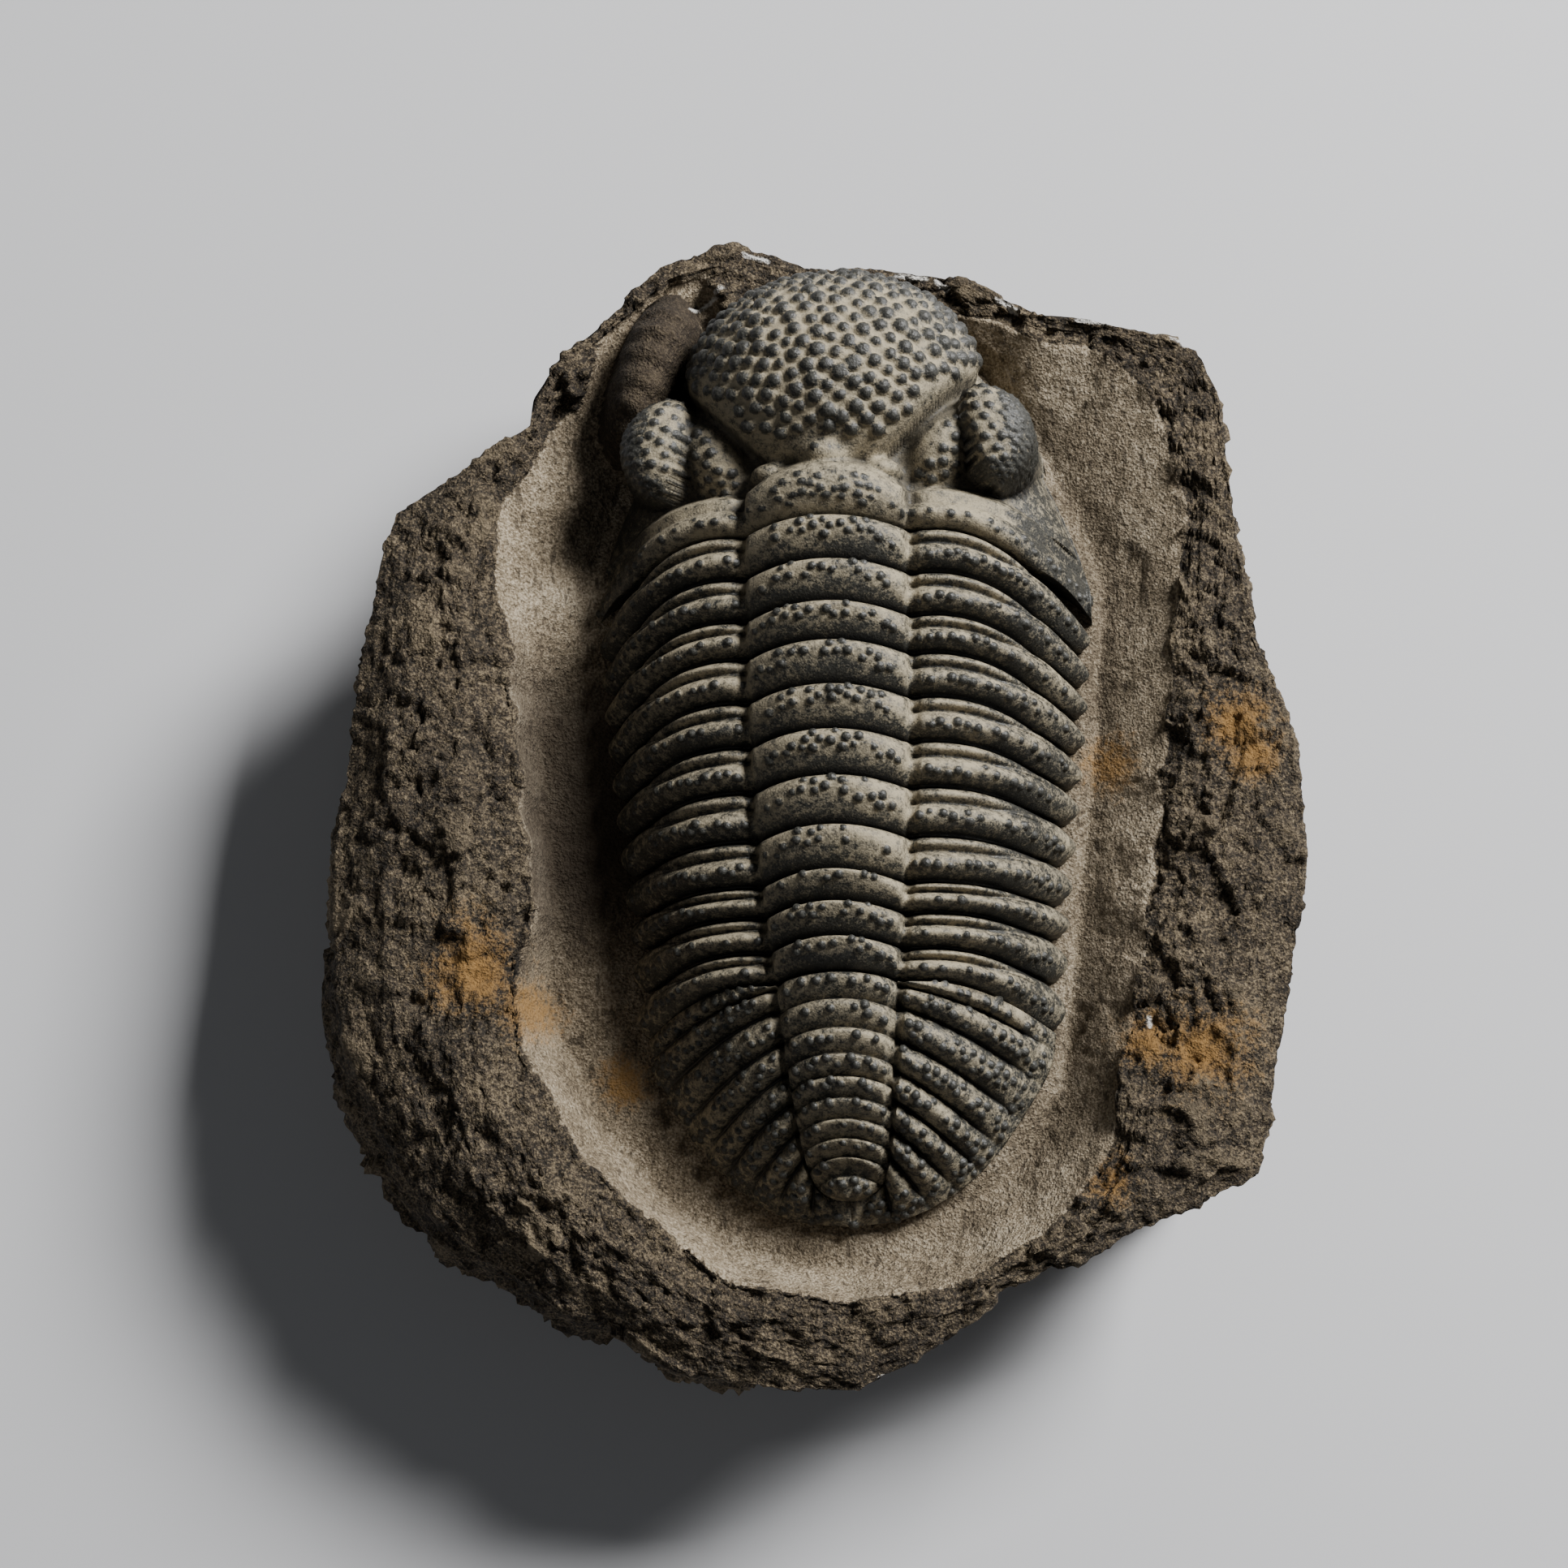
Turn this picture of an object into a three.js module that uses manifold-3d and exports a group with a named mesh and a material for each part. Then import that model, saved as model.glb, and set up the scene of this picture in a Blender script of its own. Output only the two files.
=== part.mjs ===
// A fossil trilobite, Drotops megalomanicus, in its block of limestone, lying on the block's flat back.
// Millimetres. +Z up, +Y towards the head, +X to the animal's right; the origin is the middle of the block's back.
// The animal's armour is separate plates, as it was in life: the head shield (cephalon), eleven
// overlapping thorax segments and the tail shield (pygidium). The block was carved away round them,
// so they stand on a seat at the bottom of a moat.
import * as THREE from "three";
import { mergeVertices } from "three/addons/utils/BufferGeometryUtils.js";
import Module from "manifold-3d";

const wasm = await Module();
wasm.setup();

// Where the animal lies in the block: its own frame has the same axes, with z = 0 at its seat.
const SEAT_X = 4.7;
const SEAT_Z = 25;
const ROLL_DEG = 6; // its right flank is raised
const YAW_DEG = 1; // its head points a little to the left
const PLATE_GAP = 0.34; // between one plate and the next, and between the plates and their seat

// The axis, head to tail. Ring i of the thorax starts at RING_Y[i]; its rear edge is the next one's start.
const OCCIPITAL_Y = 41.3;
const RING_Y = [34.6, 28.5, 22.6, 17.3, 11.3, 5.2, -1.0, -7.6, -13.7, -17.8, -22.4, -26.8];
// How far each of those edges is swept back by the time it reaches the tip of the flank.
const EDGE_SWEEP = [9.4, 8.1, 7.0, 6.1, 5.0, 3.8, 2.5, 1.4, 0.8, 1.4, 3.0, 5.4];
const OCCIPITAL_SWEEP = 6.8;
const RING_BOW = 0.8; // how far the middle of every ring's edge is bowed towards the head
const SEGMENTS = RING_Y.length - 1;
const TAIL_RING_Y = [-26.8, -30.6, -34.3, -37.7, -40.8, -43.7, -46.4, -49.0, -51.4, -53.6];

// A smooth curve through [place, value] pairs, held level past both ends.
function through(...pairs) {
  return (x) => {
    const last = pairs.length - 1;
    if (x <= pairs[0][0]) return pairs[0][1];
    if (x >= pairs[last][0]) return pairs[last][1];
    const i = pairs.findIndex((pair) => pair[0] > x) - 1;
    const slope = (k) => {
      const from = pairs[Math.max(k - 1, 0)];
      const to = pairs[Math.min(k + 1, last)];
      return (to[1] - from[1]) / (to[0] - from[0]);
    };
    const span = pairs[i + 1][0] - pairs[i][0];
    const t = (x - pairs[i][0]) / span;
    const rise = pairs[i + 1][1] - pairs[i][1];
    const bend = (1 - t) * (slope(i) * span - rise) - t * (slope(i + 1) * span - rise);
    return pairs[i][1] + t * rise + t * (1 - t) * bend;
  };
}

const mix = (a, b, t) => a + (b - a) * t;
const step = (from, to, x) => THREE.MathUtils.smoothstep(x, from, to);
// A round hill of height 1 at its middle, and 0 past its half-width.
const hill = (x, middle, half) => Math.max(0, 1 - ((x - middle) / half) ** 2) ** 0.75;

// A repeatable random number from 0 to 1, so that the same part is built every time.
function dice(seed) {
  let state = seed;
  return () => {
    state = (state * 48271) % 2147483647;
    return state / 2147483647;
  };
}

// Sizes along the animal: half the axial lobe's width, the crest's height, and the reach of a flank.
const axisHalf = through([-57, 3.4], [-50, 5.4], [-27, 8.0], [-14, 9.4], [8, 10.6], [42, 10.8]);
const crestHeight = through([-57, 5], [-50, 13], [-40, 19.5], [-27, 23.4], [-10, 26], [15, 27], [42, 26.6]);
const flankReach = through([-33, 28.2], [-20, 29.6], [0, 31.6], [20, 33.4], [34, 34.2], [42, 34.4]);

// The arch of a flank, from the axial furrow to the tip: [share of the reach, share of the drop].
const FULCRUM = 0.63;
const flankDrop = through([0.3, 0], [0.42, -0.02], [0.54, 0.04], [FULCRUM, 0.12], [0.76, 0.33], [0.88, 0.64], [1, 1]);
const RING_ARCH = 4.2; // from the crest of a ring down to its ends
const FURROW_DROP = 5.4; // from the crest down to the flank beside the axial furrow
const TIP_HEIGHT = 2.0;

// A point of the bare arch at share w of the reach (-1 to 1), for a row whose ring stands at y.
function archAt(w, y) {
  const side = Math.sign(w);
  const share = Math.abs(w);
  const reach = flankReach(y);
  const crest = crestHeight(y);
  const lobe = axisHalf(y) / reach;
  const shoulder = crest - FURROW_DROP;
  const lobeShare = Math.min(share / lobe, 1);
  const onRing = crest - RING_ARCH * lobeShare ** 2.4;
  const onFlank = mix(shoulder, TIP_HEIGHT, flankDrop(share));
  return { x: side * share * reach, z: share <= lobe ? onRing : onFlank, ring: share <= lobe };
}

// An edge { y, sweep } is straight at first, bowed forward over the ring, and curves back outside SWEEP_START.
const BOWED_SHARE = 0.31;
const SWEEP_START = 0.44;
const SWEEP_CURVE = 1.9;
const sweepShare = (w) => Math.max(0, (Math.abs(w) - SWEEP_START) / (1 - SWEEP_START)) ** SWEEP_CURVE;
const bowAt = (w) => RING_BOW * Math.max(0, 1 - (w / BOWED_SHARE) ** 2);
const edgeAt = (edge, w) => edge.y + bowAt(w) - edge.sweep * sweepShare(w);

// The relief across a plate, v running from its front edge (0) to its rear edge (1).
const ringRelief = (v) => 2.6 * hill(v, 0.52, 0.52) - 1.5;
function flankRelief(v, share) {
  const frontBand = 1.2 * hill(v, 0.13, 0.12) * (1 - step(0.62, 0.92, share));
  const rearBand = 2.2 * hill(v, 0.62, 0.37);
  return frontBand + rearBand - 1.1;
}

// Welds a list of triangle corners (three numbers each) into points and triangles, leaving out slivers.
function weld(corners) {
  const places = new Map();
  const points = [];
  const indexOf = (p) => {
    const key = p.map((c) => Math.round(c * 2000)).join();
    if (!places.has(key)) {
      places.set(key, points.length);
      points.push(p);
    }
    return places.get(key);
  };
  const triangles = [];
  for (let i = 0; i < corners.length; i += 3) {
    const t = corners.slice(i, i + 3).map(indexOf);
    if (new Set(t).size === 3) triangles.push(t);
  }
  return { points, triangles };
}

function geometryOf(points, triangles) {
  const geometry = new THREE.BufferGeometry();
  geometry.setAttribute("position", new THREE.Float32BufferAttribute(points.flat(), 3));
  geometry.setIndex(triangles.flat());
  return geometry;
}

// The solid between a sheet of points and the flat floor under it.
// Rows run from head to tail, and each from left to right.
function solidUnder(rows, floor = 0) {
  const corners = [];
  for (let i = 0; i + 1 < rows.length; i++)
    for (let j = 0; j + 1 < rows[i].length; j++) {
      const [a, b, c, d] = [rows[i][j], rows[i][j + 1], rows[i + 1][j], rows[i + 1][j + 1]];
      corners.push(a, c, d, a, d, b);
    }
  const { points, triangles } = weld(corners);
  const edges = new Map();
  for (const t of triangles) t.forEach((a, k) => edges.set(`${a},${t[(k + 1) % 3]}`, [a, t[(k + 1) % 3]]));
  const next = new Map([...edges.values()].filter(([a, b]) => !edges.has(`${b},${a}`)));
  const loop = [next.keys().next().value];
  while (next.get(loop.at(-1)) !== loop[0]) loop.push(next.get(loop.at(-1)));
  const foot = loop.map((k) => points.push([points[k][0], points[k][1], floor]) - 1);
  loop.forEach((a, k) => {
    const n = (k + 1) % loop.length;
    triangles.push([loop[n], a, foot[k]], [loop[n], foot[k], foot[n]]);
  });
  const plan = loop.map((k) => new THREE.Vector2(points[k][0], points[k][1]));
  for (const [a, b, c] of THREE.ShapeUtils.triangulateShape(plan, [])) triangles.push([foot[c], foot[b], foot[a]]);
  return geometryOf(points, triangles);
}

// A closed skin through rings of points, from the first ring's middle over the outside to the last ring's middle.
function solidThrough(rings) {
  const middle = (ring) => ring[0].map((_, axis) => ring.reduce((sum, p) => sum + p[axis], 0) / ring.length);
  const rows = [rings[0].map(() => middle(rings[0])), ...rings, rings.at(-1).map(() => middle(rings.at(-1)))];
  const corners = [];
  for (let i = 0; i + 1 < rows.length; i++)
    for (let j = 0; j < rows[i].length; j++) {
      const n = (j + 1) % rows[i].length;
      const [a, b, c, d] = [rows[i][j], rows[i][n], rows[i + 1][j], rows[i + 1][n]];
      corners.push(a, c, d, a, d, b);
    }
  const { points, triangles } = weld(corners);
  return geometryOf(points, triangles);
}

function solidOf(geometry) {
  const bare = geometry.clone();
  bare.deleteAttribute("normal");
  bare.deleteAttribute("uv");
  const merged = mergeVertices(bare, 1e-4);
  const vertProperties = merged.attributes.position.array;
  return new wasm.Manifold(new wasm.Mesh({ numProp: 3, vertProperties, triVerts: new Uint32Array(merged.index.array) }));
}

function geometryFrom(solid) {
  const { vertProperties, triVerts } = solid.getMesh();
  const geometry = new THREE.BufferGeometry();
  geometry.setAttribute("position", new THREE.BufferAttribute(vertProperties, 3));
  geometry.setIndex(new THREE.BufferAttribute(triVerts, 1));
  return geometry;
}

// The thorax segments: one band each, from tip to tip over the axial ring.

const FLANK_SHARES = [0.46, FULCRUM, 0.76, 0.88, 1];
const BAND_STEPS = [0, 0.13, 0.27, 0.62, 1];
const TIP_ROUNDING = 1.4; // how far a tip's two corners are drawn in

// The shares of the reach at which a row has points: across the ring, then the furrow, then the flank.
function rowShares(lobe) {
  const right = [0, 0.55 * lobe, 0.97 * lobe, 1.04 * lobe, ...FLANK_SHARES];
  return [...right.slice(1).reverse().map((w) => -w), ...right];
}

// One row of a band at share v of its length. front and rear say where its two edges stand: { y, sweep }.
function bandRow(v, front, rear, relief = flankRelief) {
  const ringY = mix(front.y, rear.y, v);
  const lobe = axisHalf(ringY) / flankReach(ringY);
  return rowShares(lobe).map((w) => {
    const share = Math.abs(w);
    const here = archAt(w, ringY);
    const slope = (archAt(w + 0.01, ringY).z - archAt(w - 0.01, ringY).z) / (0.02 * flankReach(ringY));
    const lift = here.ring ? ringRelief(v) : relief(v, share);
    const tilt = here.ring || share < 0.5 ? 0 : Math.atan(slope);
    const rounding = step(0.8, 1, share) * TIP_ROUNDING * (2 * v - 1) ** 2;
    const y = mix(edgeAt(front, w), edgeAt(rear, w), v);
    const x = here.x - lift * Math.sin(tilt) - Math.sign(w) * rounding;
    return [x, y, Math.max(here.z + lift * Math.cos(tilt), 0.6)];
  });
}

const bandSolid = (front, rear, relief) => solidUnder(BAND_STEPS.map((v) => bandRow(v, front, rear, relief)));

function thoraxSegment(i) {
  const front = { y: RING_Y[i] - PLATE_GAP / 2, sweep: EDGE_SWEEP[i] };
  const rear = { y: RING_Y[i + 1] + PLATE_GAP / 2, sweep: EDGE_SWEEP[i + 1] };
  return bandSolid(front, rear);
}

// The tail shield: rings down a tapering axis, and ribs that fan out from it until the last points straight back.

const TAIL_RINGS = TAIL_RING_Y.length - 1;
const TAIL_STEPS = [0, 0.3, 0.68];
const TAIL_FLANK = [0.06, 0.22, 0.42, 0.62, 0.83, 1];
// The margin, from the front corner (0) to the middle of the rear (1).
const tailMarginX = through([0, 28.2], [0.15, 27.8], [0.33, 25.2], [0.52, 20.6], [0.7, 14.8], [0.86, 7.6], [1, 0]);
const tailMarginY = through([0, -32.4], [0.15, -36.6], [0.33, -42.6], [0.52, -48.6], [0.7, -53.2], [0.86, -56.4],
  [1, -57.5]);
// How far round the margin a rib ends that starts at share s of the axis: the ribs fan out.
const marginShare = through([0, 0], [0.05, 0.15], [0.15, 0.3], [0.26, 0.43], [0.38, 0.53], [0.52, 0.64],
  [0.66, 0.74], [1, 1]);
const tailAxisHalf = (s) => axisHalf(TAIL_RING_Y[0]) * (1 - 0.36 * s) * Math.sqrt(Math.max(0, 1 - s ** 9));

// One line across the tail at share s of the way down its axis (0 to 1), with relief for share v of a rib.
function tailRow(s, v) {
  const k = Math.min(s * TAIL_RINGS, TAIL_RINGS - 1e-6);
  const axisY = mix(TAIL_RING_Y[Math.floor(k)], TAIL_RING_Y[Math.floor(k) + 1], k % 1);
  const half = tailAxisHalf(s);
  const crest = crestHeight(axisY);
  const fade = 1 - step(0.8, 1, s);
  const ringLift = (1.8 * hill(v, 0.5, 0.5) - 0.9) * fade;
  const ribLift = (2.0 * hill(v, 0.5, 0.46) - 0.9) * fade;
  const edgeX = tailMarginX(marginShare(s));
  const edgeY = tailMarginY(marginShare(s));
  const ringBow = (t) => RING_BOW * (1 - t ** 2) * fade;
  const right = [0, 0.55, 1].map((t) => [half * t, axisY + ringBow(t), crest - 3.4 * t ** 2.4 + ringLift]);
  const shoulder = crest - 4.4;
  for (const q of TAIL_FLANK) {
    const bow = Math.sin(Math.PI * q) * (1 - s);
    const drop = q ** 1.9;
    const z = mix(shoulder, TIP_HEIGHT + 1, drop) + ribLift * (1 - step(0.82, 1, q));
    right.push([mix(half, edgeX, q), mix(axisY, edgeY, q) + bow, z]);
  }
  const left = right.slice(1).reverse().map(([x, y, z]) => [-x, y, z]);
  return [...left, ...right];
}

function pygidium() {
  const rows = [];
  for (let k = 0; k < TAIL_RINGS; k++) for (const v of TAIL_STEPS) rows.push(tailRow((k + v) / TAIL_RINGS, v));
  rows.push(tailRow(1, 1));
  // The front row follows the last thorax segment's rear edge, a plate gap behind it.
  const edge = { y: RING_Y[SEGMENTS] - PLATE_GAP / 2, sweep: EDGE_SWEEP[SEGMENTS] };
  rows[0] = bandRow(0, edge, edge);
  return solidUnder(rows);
}

// The head shield: a dome of cheeks, the border and occipital ring behind, the swollen glabella, and two turret eyes.

const CHEEK_REAR = 1.6; // the cheeks stop this far in front of the plate's rear edge, inside its border
const CHEEK_ROWS = [0, 0.1, 0.22, 0.36, 0.5, 0.64, 0.78, 0.9, 1];
const CHEEK_SHARES = [-1, -0.96, -0.88, -0.76, -0.6, -0.4, 0, 0.4, 0.6, 0.76, 0.88, 0.96, 1];
// The cheek's margin from the genal tip (0) to the middle of the front (1).
const headMarginX = through([0, 34.6], [0.1, 34.4], [0.3, 31.2], [0.5, 26.6], [0.7, 20.4], [0.86, 12.4], [1, 0]);
const headMarginY = through([0, 26.0], [0.1, 30.4], [0.3, 40], [0.5, 50.2], [0.7, 61], [0.86, 67.6], [1, 70.4]);
const cheekHeight = through([0, 19.4], [0.3, 19], [0.6, 15.5], [0.85, 8], [1, 3]);

function cheeks() {
  const rows = CHEEK_ROWS.map((v) => {
    const axisY = mix(RING_Y[0] + CHEEK_REAR, headMarginY(1), v);
    return CHEEK_SHARES.map((w) => {
      const back = (axisY - headMarginY(v)) * sweepShare(w);
      const dome = (1 - Math.abs(w) ** 2.6) ** 0.62;
      return [w * headMarginX(v), axisY - back, mix(TIP_HEIGHT, cheekHeight(v), dome)];
    });
  });
  return solidUnder(rows.reverse());
}

const borderRelief = (v) => 1.6 * hill(v, 0.66, 0.36) - 1.0;

const grown = (lump, by) => ({ ...lump, rx: lump.rx + by, ry: lump.ry + by, rz: lump.rz + by });

function ellipsoid({ x, y, z, rx, ry, rz }, around, down) {
  return new THREE.SphereGeometry(1, around, down).rotateX(Math.PI / 2).scale(rx, ry, rz).translate(x, y, z);
}

const GLABELLA = { x: 0.9, y: 57.3, z: 14.8, rx: 19.9, ry: 15.2, rz: 13.6 };
// Behind its widest place the glabella is cut off obliquely on both sides, where the axial furrows run.
const FURROW_NORMAL = [0.687, 0.727];
const FURROW_OFFSET = 27.3;
const PREOCCIPITAL = { x: 0, y: 45.2, z: 17, rx: 3.6, ry: 3.4, rz: 6.4 };
// The fixed cheek is a low ridge between the axial furrow and the eye; both stand turned about the upright.
const FIXED_CHEEK = { x: 16.3, y: 47.3, z: 12, rx: 3.8, ry: 7.2, rz: 8.2, turnDeg: -36 };
const EYE = { x: 23.2, y: 48.2, z: 13, rx: 4.5, ry: 7.0, rz: 9.4, turnDeg: 14 };

// Tubercles stand on the glabella wherever it isn't the smooth rear wall or the underside.
const TUBERCLE = { radius: 1.34, height: 0.7, sunk: 0.45, spacing: 2.7, seed: 7, tries: 6000 };
const TUBERCLE_LOW_Z = 11.5;
const TUBERCLE_REAR_Y = 46.6;

// Seats for the tubercles, thrown at random and kept only where they stand clear of the others.
function tubercleSeats() {
  const random = dice(TUBERCLE.seed);
  const seats = [];
  for (let n = 0; n < TUBERCLE.tries; n++) {
    const up = 2 * random() - 1;
    const turn = 2 * Math.PI * random();
    const level = Math.sqrt(1 - up * up);
    const unit = new THREE.Vector3(level * Math.cos(turn), level * Math.sin(turn), up);
    const radii = new THREE.Vector3(GLABELLA.rx, GLABELLA.ry, GLABELLA.rz);
    const place = unit.clone().multiply(radii).add(new THREE.Vector3(GLABELLA.x, GLABELLA.y, GLABELLA.z));
    const fromFurrow = FURROW_NORMAL[1] * place.y - FURROW_NORMAL[0] * Math.abs(place.x) - FURROW_OFFSET;
    const bare = place.z < TUBERCLE_LOW_Z || place.y < TUBERCLE_REAR_Y || fromFurrow < TUBERCLE.radius;
    if (bare || seats.some((seat) => seat.place.distanceTo(place) < TUBERCLE.spacing)) continue;
    seats.push({ place, out: unit.divide(radii).normalize() });
  }
  return seats;
}

function tubercles() {
  const corners = [];
  const upward = new THREE.Vector3(0, 1, 0);
  const height = TUBERCLE.height + TUBERCLE.sunk;
  for (const { place, out } of tubercleSeats()) {
    const knob = new THREE.ConeGeometry(TUBERCLE.radius, height, 4).toNonIndexed();
    knob.translate(0, height / 2 - TUBERCLE.sunk, 0);
    knob.applyQuaternion(new THREE.Quaternion().setFromUnitVectors(upward, out));
    knob.translate(place.x, place.y, place.z);
    const position = knob.attributes.position;
    for (let i = 0; i < position.count; i++) corners.push([position.getX(i), position.getY(i), position.getZ(i)]);
  }
  const { points, triangles } = weld(corners);
  return geometryOf(points, triangles);
}

// A lump on the right (side 1) or the left (-1) of the head, turned about the upright through its middle.
function sideLump(lump, side, around, down) {
  const shape = ellipsoid({ ...lump, x: 0, y: 0, z: 0 }, around, down);
  return shape.rotateZ(THREE.MathUtils.degToRad(side * lump.turnDeg)).translate(side * lump.x, lump.y, lump.z);
}

// An eye's lenses: every other point of its net is raised by this factor, so that it is knobbly all over.
const LENS_RISE = 1.07;

function eye(side) {
  const around = 16;
  const down = 9;
  const lump = sideLump(EYE, side, around, down);
  const position = lump.attributes.position;
  const middle = new THREE.Vector3(side * EYE.x, EYE.y, EYE.z);
  for (let i = 0; i < position.count; i++) {
    const column = (i % (around + 1)) % around;
    const row = Math.floor(i / (around + 1));
    const raised = (column + row) % 2 && row > 0 && row < down ? LENS_RISE : 1;
    const place = new THREE.Vector3().fromBufferAttribute(position, i).sub(middle).multiplyScalar(raised).add(middle);
    position.setXYZ(i, place.x, place.y, place.z);
  }
  return lump;
}

function glabella() {
  let lump = solidOf(ellipsoid(GLABELLA, 20, 12));
  for (const side of [-1, 1]) lump = lump.trimByPlane([side * -FURROW_NORMAL[0], FURROW_NORMAL[1], 0], FURROW_OFFSET);
  return lump;
}

function cephalon() {
  const border = bandSolid(
    { y: OCCIPITAL_Y, sweep: OCCIPITAL_SWEEP },
    { y: RING_Y[0] + PLATE_GAP / 2, sweep: EDGE_SWEEP[0] },
    borderRelief,
  );
  const shield = solidOf(cheeks())
    .add(solidOf(border))
    .add(glabella())
    .add(solidOf(ellipsoid(PREOCCIPITAL, 10, 6)))
    .add(solidOf(sideLump(FIXED_CHEEK, -1, 10, 6)))
    .add(solidOf(sideLump(FIXED_CHEEK, 1, 10, 6)))
    .add(solidOf(eye(-1)))
    .add(solidOf(eye(1)));
  return geometryFrom(shield.add(solidOf(tubercles())));
}

// The block of limestone. Its broken edge as seen from above, clockwise from the peak left of the head.
const EDGE = [
  [-10.8, 80.2], [-5.6, 78.1], [-1.6, 76.6], [10.4, 76.3], [21.8, 74.2], [31.4, 69.2], [38.8, 68.6], [50.2, 66.0],
  [54.9, 63.8], [57.0, 59.0], [59.1, 45.5], [60.2, 35], [62.9, 23.4], [65.2, 15.5], [67.2, 7.5], [67.8, -1],
  [66.4, -14.2], [64.6, -26], [62.2, -38], [60.1, -49.8], [58.4, -52.0], [51.2, -55.3], [43.5, -58.6], [35.5, -62.8],
  [24.9, -67.3], [19.4, -71.6], [11.5, -76.8], [5.3, -80.2], [-3.0, -80.0], [-10.9, -78.6], [-18.5, -77.0],
  [-25.1, -73.2], [-34.9, -70.5], [-41.4, -66.7], [-48.0, -62.9], [-53.0, -58.6], [-57.6, -52], [-62.2, -45],
  [-65.4, -37.7], [-67.8, -28], [-66.9, -18], [-65.6, -6.3], [-64.1, 3.9], [-62.7, 14.2], [-60.8, 25], [-59.3, 36],
  [-57.6, 40.8], [-50.6, 45.5], [-43.0, 50.2], [-39.1, 53.2], [-38.6, 57.3], [-35.8, 62.0], [-30.7, 66.8],
  [-25, 72.8], [-20.5, 76.8],
];
// By compass direction from the middle of the animal, in degrees from +X: the moat's width, and heights above the back.
const moatWidth = through([-180, 12], [-160, 14.5], [-135, 13], [-110, 11.5], [-90, 12.5], [-65, 12], [-45, 12.5],
  [-20, 9.5], [0, 9.5], [25, 8.5], [50, 9], [68, 5], [80, 1.6], [100, 1.6], [115, 7], [130, 13], [150, 17.5], [180, 12]);
const lipHeight = through([-180, 37.5], [-90, 35.5], [-30, 36], [30, 37], [75, 34], [100, 34], [130, 31],
  [155, 35.5], [180, 37.5]);
const rimHeight = through([-180, 40.5], [-120, 38.5], [-60, 38], [0, 39.5], [45, 40.5], [75, 35], [105, 35],
  [135, 34], [160, 38], [180, 40.5]);
const edgeHeight = through([-180, 33], [-90, 30.5], [0, 34.5], [60, 36], [90, 33.5], [120, 34], [180, 33]);
const overhang = through([-180, 1], [-150, -4], [-120, -2], [-90, 2], [-40, 4], [0, -1.2], [50, -1], [100, 3], [180, 1]);
const BELT_Z = 20;
const FOOT_Z = 4;
const FOOT_INSET = 5.5;
const BASE_INSET = 8;
const ROUGHNESS = 1.1;
const MIDDLE = { x: SEAT_X, y: 5 };

// The old burr beside the head: a long lump of harder stone, left standing when the moat was carved.
const BURR = { x: -22.3, y: 60.5, z: 31, rx: 6.0, ry: 13.6, rz: 10.5 };
const BURR_TURN_DEG = -19;
const SOCKET_ROOM = 1.7; // the block stands clear of the glabella and the eye by this much
const CHEEK_ROOM = 1.05; // and its socket for the cheeks is larger than they are by this factor
const CHEEK_MIDDLE_Y = 45;

const animal = new THREE.Group();
animal.position.set(SEAT_X, 0, SEAT_Z);
animal.rotation.set(0, THREE.MathUtils.degToRad(-ROLL_DEG), THREE.MathUtils.degToRad(YAW_DEG), "ZYX");
animal.updateMatrixWorld(true);

// The outline of everything that stands on the seat, in the block's frame.
function footprint() {
  const right = [];
  for (let v = 1; v >= 0; v -= 0.1) right.push([headMarginX(v), headMarginY(v)]);
  for (let i = 0; i < SEGMENTS; i++) {
    const sweep = mix(EDGE_SWEEP[i], EDGE_SWEEP[i + 1], 0.6);
    const y = mix(RING_Y[i], RING_Y[i + 1], 0.6);
    right.push([flankReach(y), y - sweep]);
  }
  for (let s = 0; s <= 1.001; s += 0.1) right.push([tailMarginX(s), tailMarginY(s)]);
  const left = right.map(([x, y]) => [-x, y]).reverse();
  return [...right, ...left].map(([x, y]) => {
    const p = animal.localToWorld(new THREE.Vector3(x, y, 0));
    return [p.x, p.y];
  });
}

// How far a loop of points lies from the animal's middle in the direction of an angle.
function distanceTo(loop, angle) {
  const ux = Math.cos(angle);
  const uy = Math.sin(angle);
  let far = 0;
  loop.forEach(([ax, ay], k) => {
    const [bx, by] = loop[(k + 1) % loop.length];
    const [px, py, dx, dy] = [ax - MIDDLE.x, ay - MIDDLE.y, bx - ax, by - ay];
    const cross = ux * dy - uy * dx;
    const along = (px * dy - py * dx) / cross;
    const share = (px * uy - py * ux) / cross;
    if (cross && share >= 0 && share <= 1 && along > far) far = along;
  });
  return far;
}

function seatHeight(x, y) {
  const up = new THREE.Vector3(0, 0, 1).transformDirection(animal.matrixWorld);
  return SEAT_Z - (up.x * (x - SEAT_X) + up.y * y) / up.z;
}

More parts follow.
